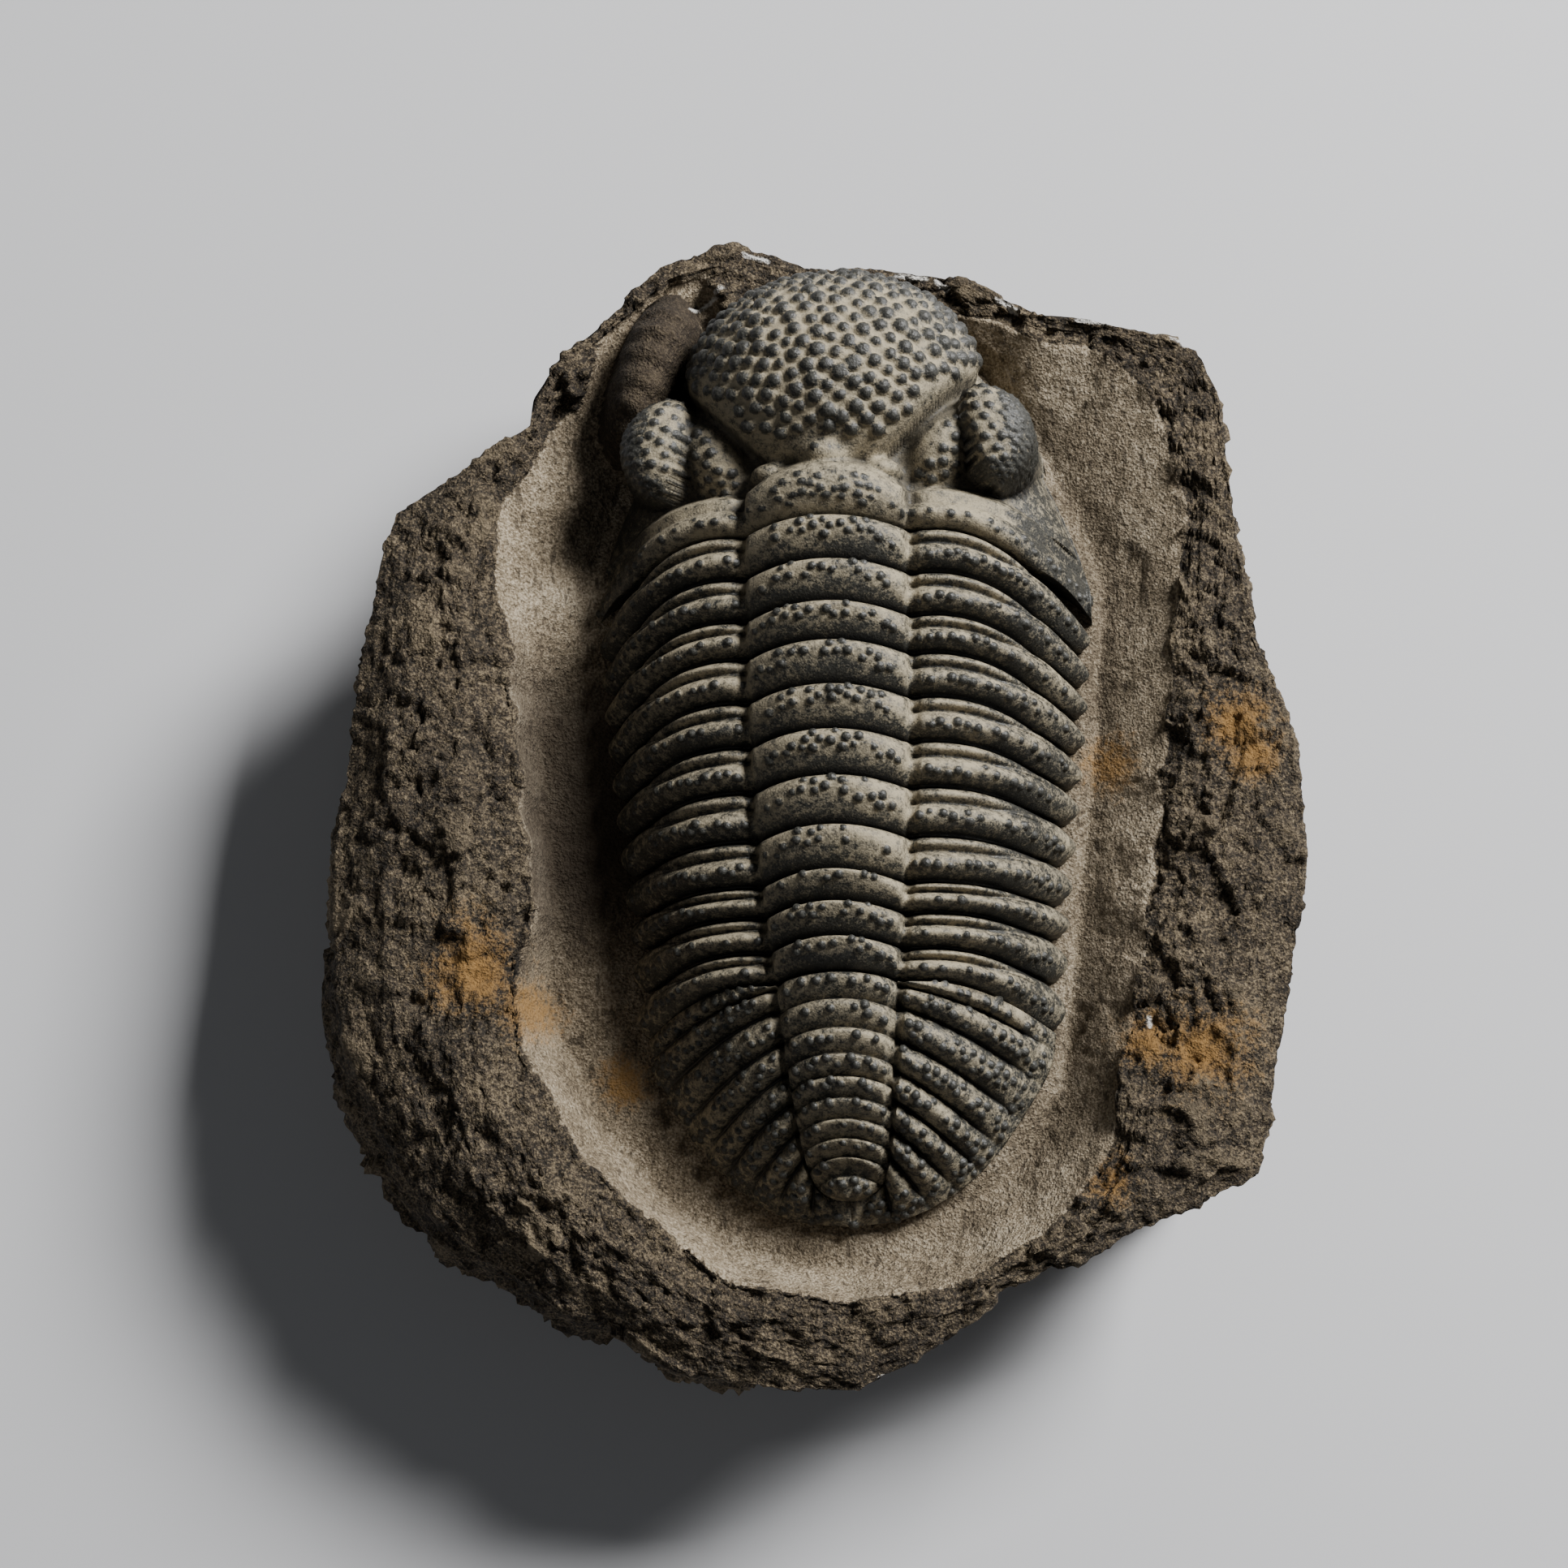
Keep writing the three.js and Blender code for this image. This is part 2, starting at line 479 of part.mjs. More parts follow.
function block() {
  const random = dice(11);
  const rough = (size) => size * (2 * random() - 1);
  const print = footprint();
  const columns = [...EDGE].reverse().map(([x, y]) => {
    const angle = Math.atan2(y - MIDDLE.y, x - MIDDLE.x);
    const compass = THREE.MathUtils.radToDeg(angle);
    const outer = Math.hypot(x - MIDDLE.x, y - MIDDLE.y);
    const inner = distanceTo(print, angle) + 1.2;
    const at = (radius, z) => [MIDDLE.x + radius * Math.cos(angle), MIDDLE.y + radius * Math.sin(angle), z];
    const seatAt = (radius) => {
      const [px, py] = at(radius, 0);
      return [px, py, seatHeight(px, py) - PLATE_GAP];
    };
    const lip = Math.min(inner + moatWidth(compass), outer - 3.2);
    const floorZ = seatAt(inner)[2];
    const lipZ = lipHeight(compass);
    const belt = outer - Math.max(0, overhang(compass));
    const rimEdge = outer + Math.min(0, overhang(compass));
    return [
      seatAt(inner * 0.5),
      seatAt(inner),
      seatAt(mix(inner, lip, 0.12)),
      at(mix(inner, lip, 0.5), mix(floorZ, lipZ, 0.42) + rough(0.4)),
      at(lip, lipZ + rough(ROUGHNESS * 0.5)),
      at(mix(lip, rimEdge, 0.34), rimHeight(compass) + rough(ROUGHNESS)),
      at(mix(lip, rimEdge, 0.74), mix(rimHeight(compass), edgeHeight(compass), 0.35) + rough(ROUGHNESS)),
      at(rimEdge, edgeHeight(compass) + rough(ROUGHNESS)),
      at(mix(rimEdge, belt, 0.5) - 0.4, mix(edgeHeight(compass), BELT_Z, 0.45) + rough(2)),
      at(belt - 0.6, BELT_Z + rough(2)),
      at(outer - FOOT_INSET + rough(ROUGHNESS), FOOT_Z + rough(1)),
      at(outer - BASE_INSET + rough(ROUGHNESS), 0),
    ];
  });
  const rings = columns[0].map((_, k) => columns.map((column) => column[k]));
  const burr = ellipsoid({ ...BURR, x: 0, y: 0, z: 0 }, 12, 8);
  burr.rotateZ(THREE.MathUtils.degToRad(BURR_TURN_DEG)).translate(BURR.x, BURR.y, BURR.z);
  const sockets = [
    ellipsoid(grown(GLABELLA, SOCKET_ROOM), 20, 12),
    sideLump(grown(EYE, SOCKET_ROOM), -1, 12, 8),
    cheeks().translate(0, -CHEEK_MIDDLE_Y, 0).scale(CHEEK_ROOM, CHEEK_ROOM, CHEEK_ROOM).translate(0, CHEEK_MIDDLE_Y, 0),
  ];
  let stone = solidOf(solidThrough(rings)).add(solidOf(burr));
  for (const socket of sockets) stone = stone.subtract(solidOf(socket.applyMatrix4(animal.matrixWorld)));
  return geometryFrom(stone);
}

const limestone = new THREE.MeshStandardMaterial({ color: 0x6e6050, roughness: 0.95, metalness: 0 });
const shell = new THREE.MeshStandardMaterial({ color: 0x3b3833, roughness: 0.6, metalness: 0 });

function named(name, geometry, material) {
  const mesh = new THREE.Mesh(geometry, material);
  mesh.name = name;
  return mesh;
}

animal.add(named("cephalon", cephalon(), shell));
for (let i = 0; i < SEGMENTS; i++) {
  const number = String(i + 1).padStart(2, "0");
  animal.add(named(`thorax_segment_${number}`, thoraxSegment(i), shell));
}
animal.add(named("pygidium", pygidium(), shell));

const fossil = new THREE.Group();
fossil.add(named("limestone_block", block(), limestone), animal);

export default fossil;
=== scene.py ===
import math
from functools import reduce

import bpy
import numpy as np
from mathutils import Euler, Matrix, Vector


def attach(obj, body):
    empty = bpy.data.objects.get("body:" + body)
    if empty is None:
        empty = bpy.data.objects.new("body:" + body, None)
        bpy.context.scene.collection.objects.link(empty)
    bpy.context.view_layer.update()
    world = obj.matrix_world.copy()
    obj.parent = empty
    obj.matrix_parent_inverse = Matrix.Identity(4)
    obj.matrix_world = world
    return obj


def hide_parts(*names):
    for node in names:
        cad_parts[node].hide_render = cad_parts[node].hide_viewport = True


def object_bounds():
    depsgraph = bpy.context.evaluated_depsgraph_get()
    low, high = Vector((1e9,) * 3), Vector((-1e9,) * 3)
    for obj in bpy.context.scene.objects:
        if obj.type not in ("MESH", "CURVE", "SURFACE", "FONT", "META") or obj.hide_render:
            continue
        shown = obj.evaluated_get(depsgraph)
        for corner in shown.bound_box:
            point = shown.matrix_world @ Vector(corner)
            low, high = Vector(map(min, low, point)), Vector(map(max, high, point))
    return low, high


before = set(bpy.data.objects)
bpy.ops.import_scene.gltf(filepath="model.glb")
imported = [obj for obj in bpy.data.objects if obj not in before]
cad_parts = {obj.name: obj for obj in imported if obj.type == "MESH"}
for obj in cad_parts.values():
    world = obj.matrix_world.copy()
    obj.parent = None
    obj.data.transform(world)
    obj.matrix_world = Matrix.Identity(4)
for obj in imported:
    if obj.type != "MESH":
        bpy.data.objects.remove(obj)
cad_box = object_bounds()
MM = 0.001


# The limestone block.
# One lump of brown limestone, broken out of its bed with a hammer and cut flat on its back. The moat
# round the animal was carved with an air scribe and then blasted, which left it pale, fine and sandy.

# The broken edge as seen from above, anticlockwise, in mm from the middle of the block's back.
EDGE = [
    (-20.5, 76.8), (-25, 72.8), (-30.7, 66.8), (-35.8, 62.0), (-38.6, 57.3), (-39.1, 53.2), (-43.0, 50.2),
    (-50.6, 45.5), (-57.6, 40.8), (-59.3, 36), (-60.8, 25), (-62.7, 14.2), (-64.1, 3.9), (-65.6, -6.3),
    (-66.9, -18), (-67.6, -28), (-65.4, -37.7), (-62.2, -45), (-57.6, -52), (-53.0, -58.6), (-48.0, -62.9),
    (-41.4, -66.7), (-34.9, -70.5), (-25.1, -73.2), (-18.5, -77.0), (-10.9, -78.6), (-3.0, -79.8), (5.3, -80.0),
    (11.5, -76.8), (19.4, -71.6), (24.9, -67.3), (35.5, -62.8), (43.5, -58.6), (51.2, -55.3), (58.4, -52.0),
    (60.1, -49.8), (62.2, -38), (64.6, -26), (66.4, -14.2), (67.4, -1), (67.0, 7.5), (65.2, 15.5), (62.9, 23.4),
    (60.2, 35), (59.1, 45.5), (57.0, 59.0), (54.9, 63.8), (50.2, 66.0), (38.8, 68.6), (31.4, 69.2),
    (21.8, 74.2), (10.4, 76.3), (-1.6, 76.6), (-5.6, 78.1), (-10.8, 79.8),
]
# The animal's outline on its seat: half its width at places from the tail to the head.
ANIMAL_OUTLINE = [
    (0, -57.5), (7.6, -56.4), (14.8, -53.2), (20.6, -48.6), (25.2, -42.6), (27.8, -36.6), (28.8, -29),
    (30.2, -16), (31.8, -2), (33.6, 14), (34.6, 26), (34.4, 30.4), (31.2, 40), (26.6, 50.2), (20.4, 61),
    (12.4, 67.6), (0, 70.4),
]
# Where the animal lies: its own frame has the same axes, with z = 0 on its seat.
SEAT = (4.7, 0, 25)
ROLL_DEG = -6  # about +Y, so its right flank is raised
YAW_DEG = 1
BLOCK_MIDDLE = np.array((4.7, 5.0))
BELT_Z = 22  # the block is widest at this height
AROUND = 760
# Rows of the block's skin between one station of its section and the next.
SECTION_ROWS = (2, 2, 4, 17, 23, 23, 22, 7, 14, 8, 6, 2)
# How much of the broken relief each of them has: none under the animal, most on the rim and the sides.
SECTION_ROUGH = (0, 0, 0, 1, 1, 1, 0.6, 0.6, 0.8, 1.2, 0.8, 0)
MOAT_SLOPE = 3  # the span of the section that climbs from the moat's foot to its lip
TOP_SPANS = 6  # the spans before this one can lie under the burr
MOAT_GAP = 0.6  # between the animal's seat and the moat
MOAT_FOOT_SHARE = 0.12
LEAST_RIM = 3.0
HUB = 0.01  # radius of the tiny rings that close the top and the back in the middle


def through(*pairs):
    """A smooth curve through (place, value) pairs, level past both ends."""
    places, values = np.array(pairs, dtype=float).T
    slopes = np.empty_like(values)
    slopes[1:-1] = (values[2:] - values[:-2]) / (places[2:] - places[:-2])
    slopes[0] = (values[1] - values[0]) / (places[1] - places[0])
    slopes[-1] = (values[-1] - values[-2]) / (places[-1] - places[-2])

    def curve(place):
        place = np.clip(place, places[0], places[-1])
        k = np.clip(np.searchsorted(places, place, side="right") - 1, 0, len(places) - 2)
        span = places[k + 1] - places[k]
        t = (place - places[k]) / span
        rise = values[k + 1] - values[k]
        bend = (1 - t) * (slopes[k] * span - rise) - t * (slopes[k + 1] * span - rise)
        return values[k] + t * rise + t * (1 - t) * bend

    return curve


def mix(a, b, t):
    return a + (b - a) * t


def step(low, high, x):
    t = np.clip((x - low) / (high - low), 0, 1)
    return t * t * (3 - 2 * t)


def distance_to(loop, angles):
    """How far a closed loop of points lies from the block's middle, in each direction."""
    a = np.array(loop, dtype=float) - BLOCK_MIDDLE
    run = np.roll(a, -1, axis=0) - a
    ray = np.stack([np.cos(angles), np.sin(angles)], axis=1)[:, None, :]
    cross = ray[..., 0] * run[:, 1] - ray[..., 1] * run[:, 0]
    along = (a[:, 0] * run[:, 1] - a[:, 1] * run[:, 0]) / cross
    share = (a[:, 0] * ray[..., 1] - a[:, 1] * ray[..., 0]) / cross
    return np.where((share >= -1e-9) & (share <= 1 + 1e-9) & (along > 0), along, 0).max(axis=1)


lie = Euler((0, math.radians(ROLL_DEG), math.radians(YAW_DEG))).to_matrix().to_4x4()
PLACE = np.array(Matrix.Translation(SEAT) @ lie)


def in_block(points):
    """Points of the animal's frame, in the block's frame."""
    return points @ PLACE[:3, :3].T + PLACE[:3, 3]


def seat_height(x, y):
    up = PLACE[:3, 2]
    return SEAT[2] - (up[0] * (x - SEAT[0]) + up[1] * (y - SEAT[1])) / up[2]


def ring_faces(rows, columns):
    """Quads over closed rings of points, facing out where the rings run down and anticlockwise from above."""
    index = np.arange(rows * columns).reshape(rows, columns)
    right = np.roll(index, -1, axis=1)
    return np.stack([index[:-1], index[1:], right[1:], right[:-1]], axis=-1).reshape(-1, 4).tolist()


def points_of(mesh):
    """A mesh's points in m, one in each row."""
    points = np.empty(len(mesh.vertices) * 3, dtype=np.float32)
    mesh.vertices.foreach_get("co", points)
    return points.reshape(-1, 3)


def store(mesh, key, values):
    """Keeps a named value on every point of a mesh."""
    kept = np.asarray(values, dtype=np.float32)
    mesh.attributes.new(key, "FLOAT", "POINT").data.foreach_set("value", kept)


def new_piece(name, points, faces, attributes):
    """A smooth-shaded object from points in mm of the block's frame, with named values on its points."""
    mesh = bpy.data.meshes.new(name)
    mesh.from_pydata((points * MM).tolist(), [], faces)
    mesh.shade_smooth()
    for key, values in attributes.items():
        store(mesh, key, values)
    piece = bpy.data.objects.new(name, mesh)
    bpy.context.scene.collection.objects.link(piece)
    return piece


def node(tree, kind, inputs=(), **settings):
    """A node with its settings, its inputs given as values or as the sockets that feed them."""
    made = tree.nodes.new(kind)
    for key, value in settings.items():
        setattr(made, key, value)
    for key, value in dict(inputs).items():
        if isinstance(value, bpy.types.NodeSocket):
            tree.links.new(value, made.inputs[key])
        else:
            made.inputs[key].default_value = value
    return made


def calc(tree, operation, *values, clamp=False):
    """A Math node's result."""
    return node(tree, "ShaderNodeMath", enumerate(values), operation=operation, use_clamp=clamp).outputs[0]


def added(tree, *values):
    """The sum of all the values."""
    return reduce(lambda total, value: calc(tree, "ADD", total, value), values)


def times(tree, *values):
    """The product of all the values."""
    return reduce(lambda total, value: calc(tree, "MULTIPLY", total, value), values)


def swing(tree, noise, share):
    """How far a noise value lies from its middle, times a share."""
    return times(tree, calc(tree, "SUBTRACT", noise, 0.5), share)


def mapped(tree, value, low, high, to_low=0.0, to_high=1.0):
    """A value between low and high, stretched to another range and held in it."""
    ranges = {"Value": value, "From Min": low, "From Max": high, "To Min": to_low, "To Max": to_high}
    return node(tree, "ShaderNodeMapRange", ranges).outputs[0]


def vector_calc(tree, operation, *values):
    """A Vector Math node's result."""
    made = node(tree, "ShaderNodeVectorMath", enumerate(values), operation=operation)
    return made.outputs["Value" if operation in ("DISTANCE", "DOT_PRODUCT") else "Vector"]


def scaled(tree, vector, factor):
    """A vector times a number."""
    settings = {0: vector, "Scale": factor}
    return node(tree, "ShaderNodeVectorMath", settings, operation="SCALE").outputs["Vector"]


def named_value(tree, key):
    made = node(tree, "GeometryNodeInputNamedAttribute", {"Name": key}, data_type="FLOAT")
    return made.outputs["Attribute"]


def new_geometry_tree(name, inputs):
    """A Geometry Nodes tree with a geometry in and out and named inputs: {name: (kind, value)}."""
    tree = bpy.data.node_groups.new(name, "GeometryNodeTree")
    tree.interface.new_socket("Geometry", in_out="INPUT", socket_type="NodeSocketGeometry")
    tree.interface.new_socket("Geometry", in_out="OUTPUT", socket_type="NodeSocketGeometry")
    for key, (kind, value) in inputs.items():
        socket = tree.interface.new_socket(key, in_out="INPUT", socket_type=f"NodeSocket{kind}")
        if value is not None:
            socket.default_value = value
    return tree, tree.nodes.new("NodeGroupInput").outputs, tree.nodes.new("NodeGroupOutput").inputs


def finish_tree(tree, given, result, key, value, push):
    """Ends a tree: keeps a named value, moves the skin by a push in m along its normals, sets its material."""
    kept = node(tree, "GeometryNodeStoreNamedAttribute",
                {"Geometry": given["Geometry"], "Name": key, "Value": value}, data_type="FLOAT", domain="POINT")
    offset = scaled(tree, node(tree, "GeometryNodeInputNormal").outputs[0], push)
    moved = node(tree, "GeometryNodeSetPosition", {"Geometry": kept.outputs[0], "Offset": offset})
    whole = node(tree, "GeometryNodeRealizeInstances", {"Geometry": moved.outputs[0]})
    dressed = {"Geometry": whole.outputs[0], "Material": given["Material"]}
    tree.links.new(node(tree, "GeometryNodeSetMaterial", dressed).outputs[0], result[0])


def shaped_by(piece, tree, values):
    """Runs a Geometry Nodes tree on a piece and keeps the result as its plain mesh."""
    modifier = piece.modifiers.new(tree.name, "NODES")
    modifier.node_group = tree
    for item in tree.interface.items_tree:
        if item.in_out == "INPUT" and item.name in values:
            modifier[item.identifier] = values[item.name]
    graph = bpy.context.evaluated_depsgraph_get()
    mesh = bpy.data.meshes.new_from_object(piece.evaluated_get(graph))
    piece.modifiers.clear()
    piece.data = mesh
    mesh.shade_smooth()


# The block's section by compass direction, in degrees from +X: the moat's width, and heights above the back.
moat_width = through((-180, 11.4), (-164, 12), (-151, 13.5), (-143, 17.5), (-135, 18.5), (-127, 16), (-119, 13),
                     (-110, 11), (-92, 10.4), (-74, 10.6), (-60, 12.2), (-40, 11), (-20, 10.7), (5, 10.8),
                     (31, 14), (46, 19), (56, 19), (66, 11), (76, 4), (100, 2), (112, 7), (124, 13), (137, 16),
                     (151, 15), (162, 12.2), (180, 11.4))
lip_height = through((-180, 38), (-120, 36), (-90, 35), (-30, 34.5), (30, 34.5), (50, 35), (75, 33.5),
                     (100, 34), (130, 32), (155, 36), (180, 38))
rim_height = through((-180, 40), (-120, 37.5), (-90, 35), (-60, 36), (0, 36.5), (45, 35), (75, 33.4),
                     (105, 34.5), (135, 34), (160, 38), (180, 40))
edge_height = through((-180, 33.5), (-120, 32.5), (-90, 33), (-45, 34), (0, 35.5), (60, 34.6), (90, 33.2),
                      (120, 34), (180, 33.5))
# How far the side overhangs the rim's edge (below zero) or falls back under it.
overhang = through((-180, 1), (-150, -4), (-120, -2), (-90, 2), (-40, 4), (0, -1.2), (50, -1), (100, 3),
                   (180, 1))
# How hollow the moat's slope is: high on the left and round the tail, nearly straight on the right.
moat_hollow = through((-180, 3.4), (-150, 3.0), (-125, 1.8), (-80, 1.5), (-30, 1.1), (30, 0.9), (110, 0.8),
                      (150, 0.65), (165, 1.8), (180, 3.4))
# How far the moat's floor is cut below the animal's seat. Below zero it stands above the seat.
moat_depth = through((-180, 3.4), (-120, 2.6), (-80, 1.8), (-30, 0.9), (45, 0.5), (110, 0), (135, -4),
                     (152, -4), (170, 2.4), (180, 3.4))
# How strongly the moat's floor is darkened, partly by a real stain and partly by painted shadow of the animal:
# black on the left, and lightest beside the head's left.
stain_and_shade_strength = through((-180, 1), (-155, 1), (-138, 0.4), (-110, 0.3), (110, 0.3), (130, 0.1), (150, 0.1),
                         (164, 0.85), (180, 1))


def block_section(angles):
    """The stations of the block's section in every direction, how hollow its moat is, and the directions."""
    compass = np.degrees(angles)
    outer = distance_to(EDGE, angles)
    outline = np.array(ANIMAL_OUTLINE)
    loop = np.concatenate([outline, (outline * (-1, 1))[-2:0:-1]])
    seat_loop = in_block(np.column_stack([loop, np.zeros(len(loop))]))[:, :2]
    inner = distance_to(seat_loop, angles) + MOAT_GAP
    wander = 0.5 * np.sin(13 * angles) * np.sin(3 * angles) + 0.35 * np.sin(31 * angles)
    lip = np.minimum(inner + moat_width(compass) + wander, outer - LEAST_RIM)
    direction = np.stack([np.cos(angles), np.sin(angles)], axis=1)

    def seat_at(radius):
        x, y = (BLOCK_MIDDLE + radius[:, None] * direction).T
        return seat_height(x, y) + 0.25

    belt = outer - np.maximum(0, overhang(compass))
    rim_edge = outer + np.minimum(0, overhang(compass))
    floor = seat_at(inner)
    lip_z, rim_z, edge_z = lip_height(compass), rim_height(compass), edge_height(compass)
    foot = mix(inner, lip, MOAT_FOOT_SHARE)
    zero = np.zeros_like(angles)
    stations = [
        (zero, seat_at(zero)),
        (inner * 0.6, seat_at(inner * 0.6)),
        (inner - 0.5, seat_at(inner - 0.5)),
        (foot, floor - moat_depth(compass)),
        (lip, lip_z),
        (mix(lip, rim_edge, 0.34), rim_z),
        (mix(lip, rim_edge, 0.74), mix(rim_z, edge_z, 0.35)),
        (rim_edge, edge_z),
        (mix(rim_edge, belt, 0.25) - 0.1, edge_z - 3),
        (belt - 0.2, zero + BELT_Z),
        (outer - 5, zero + 4),
        (outer - 8, zero),
        (zero, zero),
    ]
    return stations, moat_hollow(compass), direction


# The burr: a long lump of harder, darker stone beside the head, left standing when the moat was carved.
BURR_MIDDLE = (-22.3, 60.6)
BURR_RADII = (6.1, 13.6)
BURR_FOOT = 26
BURR_RISE = 15.5
BURR_TURN_DEG = -19
BURR_MOAT_Z = 31.5


def burr_share(flat):
    """0 at the middle of the burr and 1 at its foot, and how far along the burr each place is."""
    turn = math.radians(BURR_TURN_DEG)
    x, y = flat[..., 0] - BURR_MIDDLE[0], flat[..., 1] - BURR_MIDDLE[1]
    across = (x * math.cos(turn) + y * math.sin(turn)) / BURR_RADII[0]
    along = (y * math.cos(turn) - x * math.sin(turn)) / BURR_RADII[1]
    return across**2 + np.abs(along) ** 2.6, along


def with_burr(flat, heights):
    """Carves a narrow moat round the burr and stands the burr in it. Also tells what is burr, and what moat."""
    share, along = burr_share(flat)
    moat = 1 - step(1.25, 2.3, share)
    heights = mix(heights, np.minimum(heights, BURR_MOAT_Z), moat)
    ribbed = 0.3 * np.sin(along * 23 + share)
    burr = BURR_FOOT + (BURR_RISE + ribbed) * np.maximum(0, 1 - share) ** 0.5
    return np.maximum(heights, burr), (burr > heights) & (share < 1), moat > 0.4


def block_mesh():
    angles = np.linspace(-math.pi, math.pi, AROUND, endpoint=False)
    stations, hollow, direction = block_section(angles)
    shady = stain_and_shade_strength(np.degrees(angles))
    even = np.ones_like(angles)
    radii, heights, carved, rough, stain_and_painted_shade = [], [], [], [], []
    for k, rows in enumerate(SECTION_ROWS):
        (r0, z0), (r1, z1) = stations[k], stations[k + 1]
        on_slope = k == MOAT_SLOPE
        for t in np.arange(rows) / rows:
            # Up the moat's slope the darkening thins out: stain and painted shadow together.
            fade_up_slope = mix(1.0, 0.22, shady) * step(mix(0.05, 0.4, shady), mix(0.5, 1.0, shady), t)
            radii.append(mix(r0, r1, t))
            heights.append(mix(z0, z1, t**hollow if on_slope else t))
            carved.append(even * (k <= MOAT_SLOPE))
            rough.append(even * SECTION_ROUGH[k])
            stain_and_painted_shade.append(shady * (1 - fade_up_slope * on_slope) * (k <= MOAT_SLOPE))
    radii[0] = even * HUB
    radii.append(even * HUB)
    for field in (heights, carved, rough, stain_and_painted_shade):
        field.append(even * 0)
    radii, heights, carved, rough, stain_and_painted_shade = map(np.array, (radii, heights, carved, rough, stain_and_painted_shade))
    flat = BLOCK_MIDDLE + radii[..., None] * direction
    top = slice(0, sum(SECTION_ROWS[:TOP_SPANS]))
    heights[top], on_burr, in_burr_moat = with_burr(flat[top], heights[top])
    carved[top] = np.where(in_burr_moat, 1, carved[top]) * ~on_burr
    rough[top] = np.where(on_burr, 0.22, rough[top])
    # The burr's own darker stone takes the same value.
    stain_and_painted_shade[top] = np.where(on_burr, 0.75, stain_and_painted_shade[top])
    points = np.concatenate([flat, heights[..., None]], axis=-1)
    rows = len(radii)
    faces = ring_faces(rows, AROUND)
    faces += [list(range(AROUND)), list(range(rows * AROUND - 1, (rows - 1) * AROUND - 1, -1))]
    values = {"carved": carved.ravel(), "rough": rough.ravel(), "stain_and_painted_shade": stain_and_painted_shade.ravel()}
    return new_piece("limestone", points.reshape(-1, 3), faces, values)


def broken_stone_tree():
    """Pushes a skin in and out as broken stone: facets, ledges and grain, calmer where it was carved."""
    tree, given, result = new_geometry_tree("Broken stone", {
        "Facet size": ("Float", 9.0),
        "Facet depth": ("Float", 1.0),
        "Ledge height": ("Float", 0.8),
        "Grain depth": ("Float", 0.3),
        "Carved share": ("Float", 0.2),
        "Material": ("Material", None),
    })
    in_mm = scaled(tree, node(tree, "GeometryNodeInputPosition").outputs[0], 1 / MM)

    def facets(size, seed):
        """Each cell of a broken surface is a flat chip with a tilt of its own."""
        moved = vector_calc(tree, "ADD", in_mm, (seed, 2 * seed, -seed))
        cell = node(tree, "ShaderNodeTexVoronoi", {"Vector": moved, "Scale": calc(tree, "DIVIDE", 1.0, size)})
        from_cell = vector_calc(tree, "SUBTRACT", moved, cell.outputs["Position"])
        tilt = vector_calc(tree, "SUBTRACT", cell.outputs["Color"], (0.5, 0.5, 0.5))
        lean = calc(tree, "DIVIDE", vector_calc(tree, "DOT_PRODUCT", from_cell, tilt), size)
        return calc(tree, "ADD", lean, vector_calc(tree, "DOT_PRODUCT", tilt, (0.5, 0.4, 0.3)))

    def grain(size):
        """Noise with lumps of about this size, from -0.5 to 0.5."""
        settings = {"Vector": in_mm, "Scale": 1 / size, "Detail": 3.0, "Roughness": 0.6}
        noise = node(tree, "ShaderNodeTexNoise", settings)
        return calc(tree, "SUBTRACT", noise.outputs["Fac"], 0.5)

    coarse = facets(given["Facet size"], 3.0)
    fine = facets(times(tree, given["Facet size"], 0.27), 11.0)
    finest = facets(times(tree, given["Facet size"], 0.12), 23.0)
    chips = added(tree, times(tree, fine, 0.5), times(tree, finest, 0.3))
    chipped = times(tree, added(tree, coarse, chips), given["Facet depth"])
    # The stone parts along its bedding, so wide places of it lie in steps of one height.
    ledges = times(tree, calc(tree, "ROUND", times(tree, grain(15.0), 7.0)), given["Ledge height"])
    grit = times(tree, grain(1.0), given["Grain depth"])
    broken = added(tree, chipped, ledges, grit)
    shares = {"Factor": named_value(tree, "carved"), "A": 1.0, "B": given["Carved share"]}
    calm = node(tree, "ShaderNodeMix", shares, data_type="FLOAT").outputs[0]
    push = times(tree, broken, calm, named_value(tree, "rough"), MM)
    finish_tree(tree, given, result, "chip", broken, push)
    return tree


def new_material(name):
    material = bpy.data.materials.new(name)
    material.use_nodes = True
    tree = material.node_tree
    surface = next(n for n in tree.nodes if n.type == "BSDF_PRINCIPLED")
    return material, tree, surface


def ramp(tree, value, *stops):
    """A Color Ramp's colour for a value: stops are (place, colour)."""
    made = node(tree, "ShaderNodeValToRGB", {"Fac": value})
    elements = made.color_ramp.elements
    while len(elements) < len(stops):
        elements.new(0.5)
    for element, (place_on_ramp, colour) in zip(elements, stops):
        element.position = place_on_ramp
        element.color = (*colour, 1)
    return made.outputs["Color"]


def blend(tree, factor, a, b):
    """A Mix node's colour."""
    made = node(tree, "ShaderNodeMix", data_type="RGBA")
    for socket, value in zip((made.inputs[0], made.inputs[6], made.inputs[7]), (factor, a, b)):
        if isinstance(value, bpy.types.NodeSocket):
            tree.links.new(value, socket)
        elif isinstance(value, tuple):
            socket.default_value = (*value, 1)
        else:
            socket.default_value = value
    return made.outputs[2]


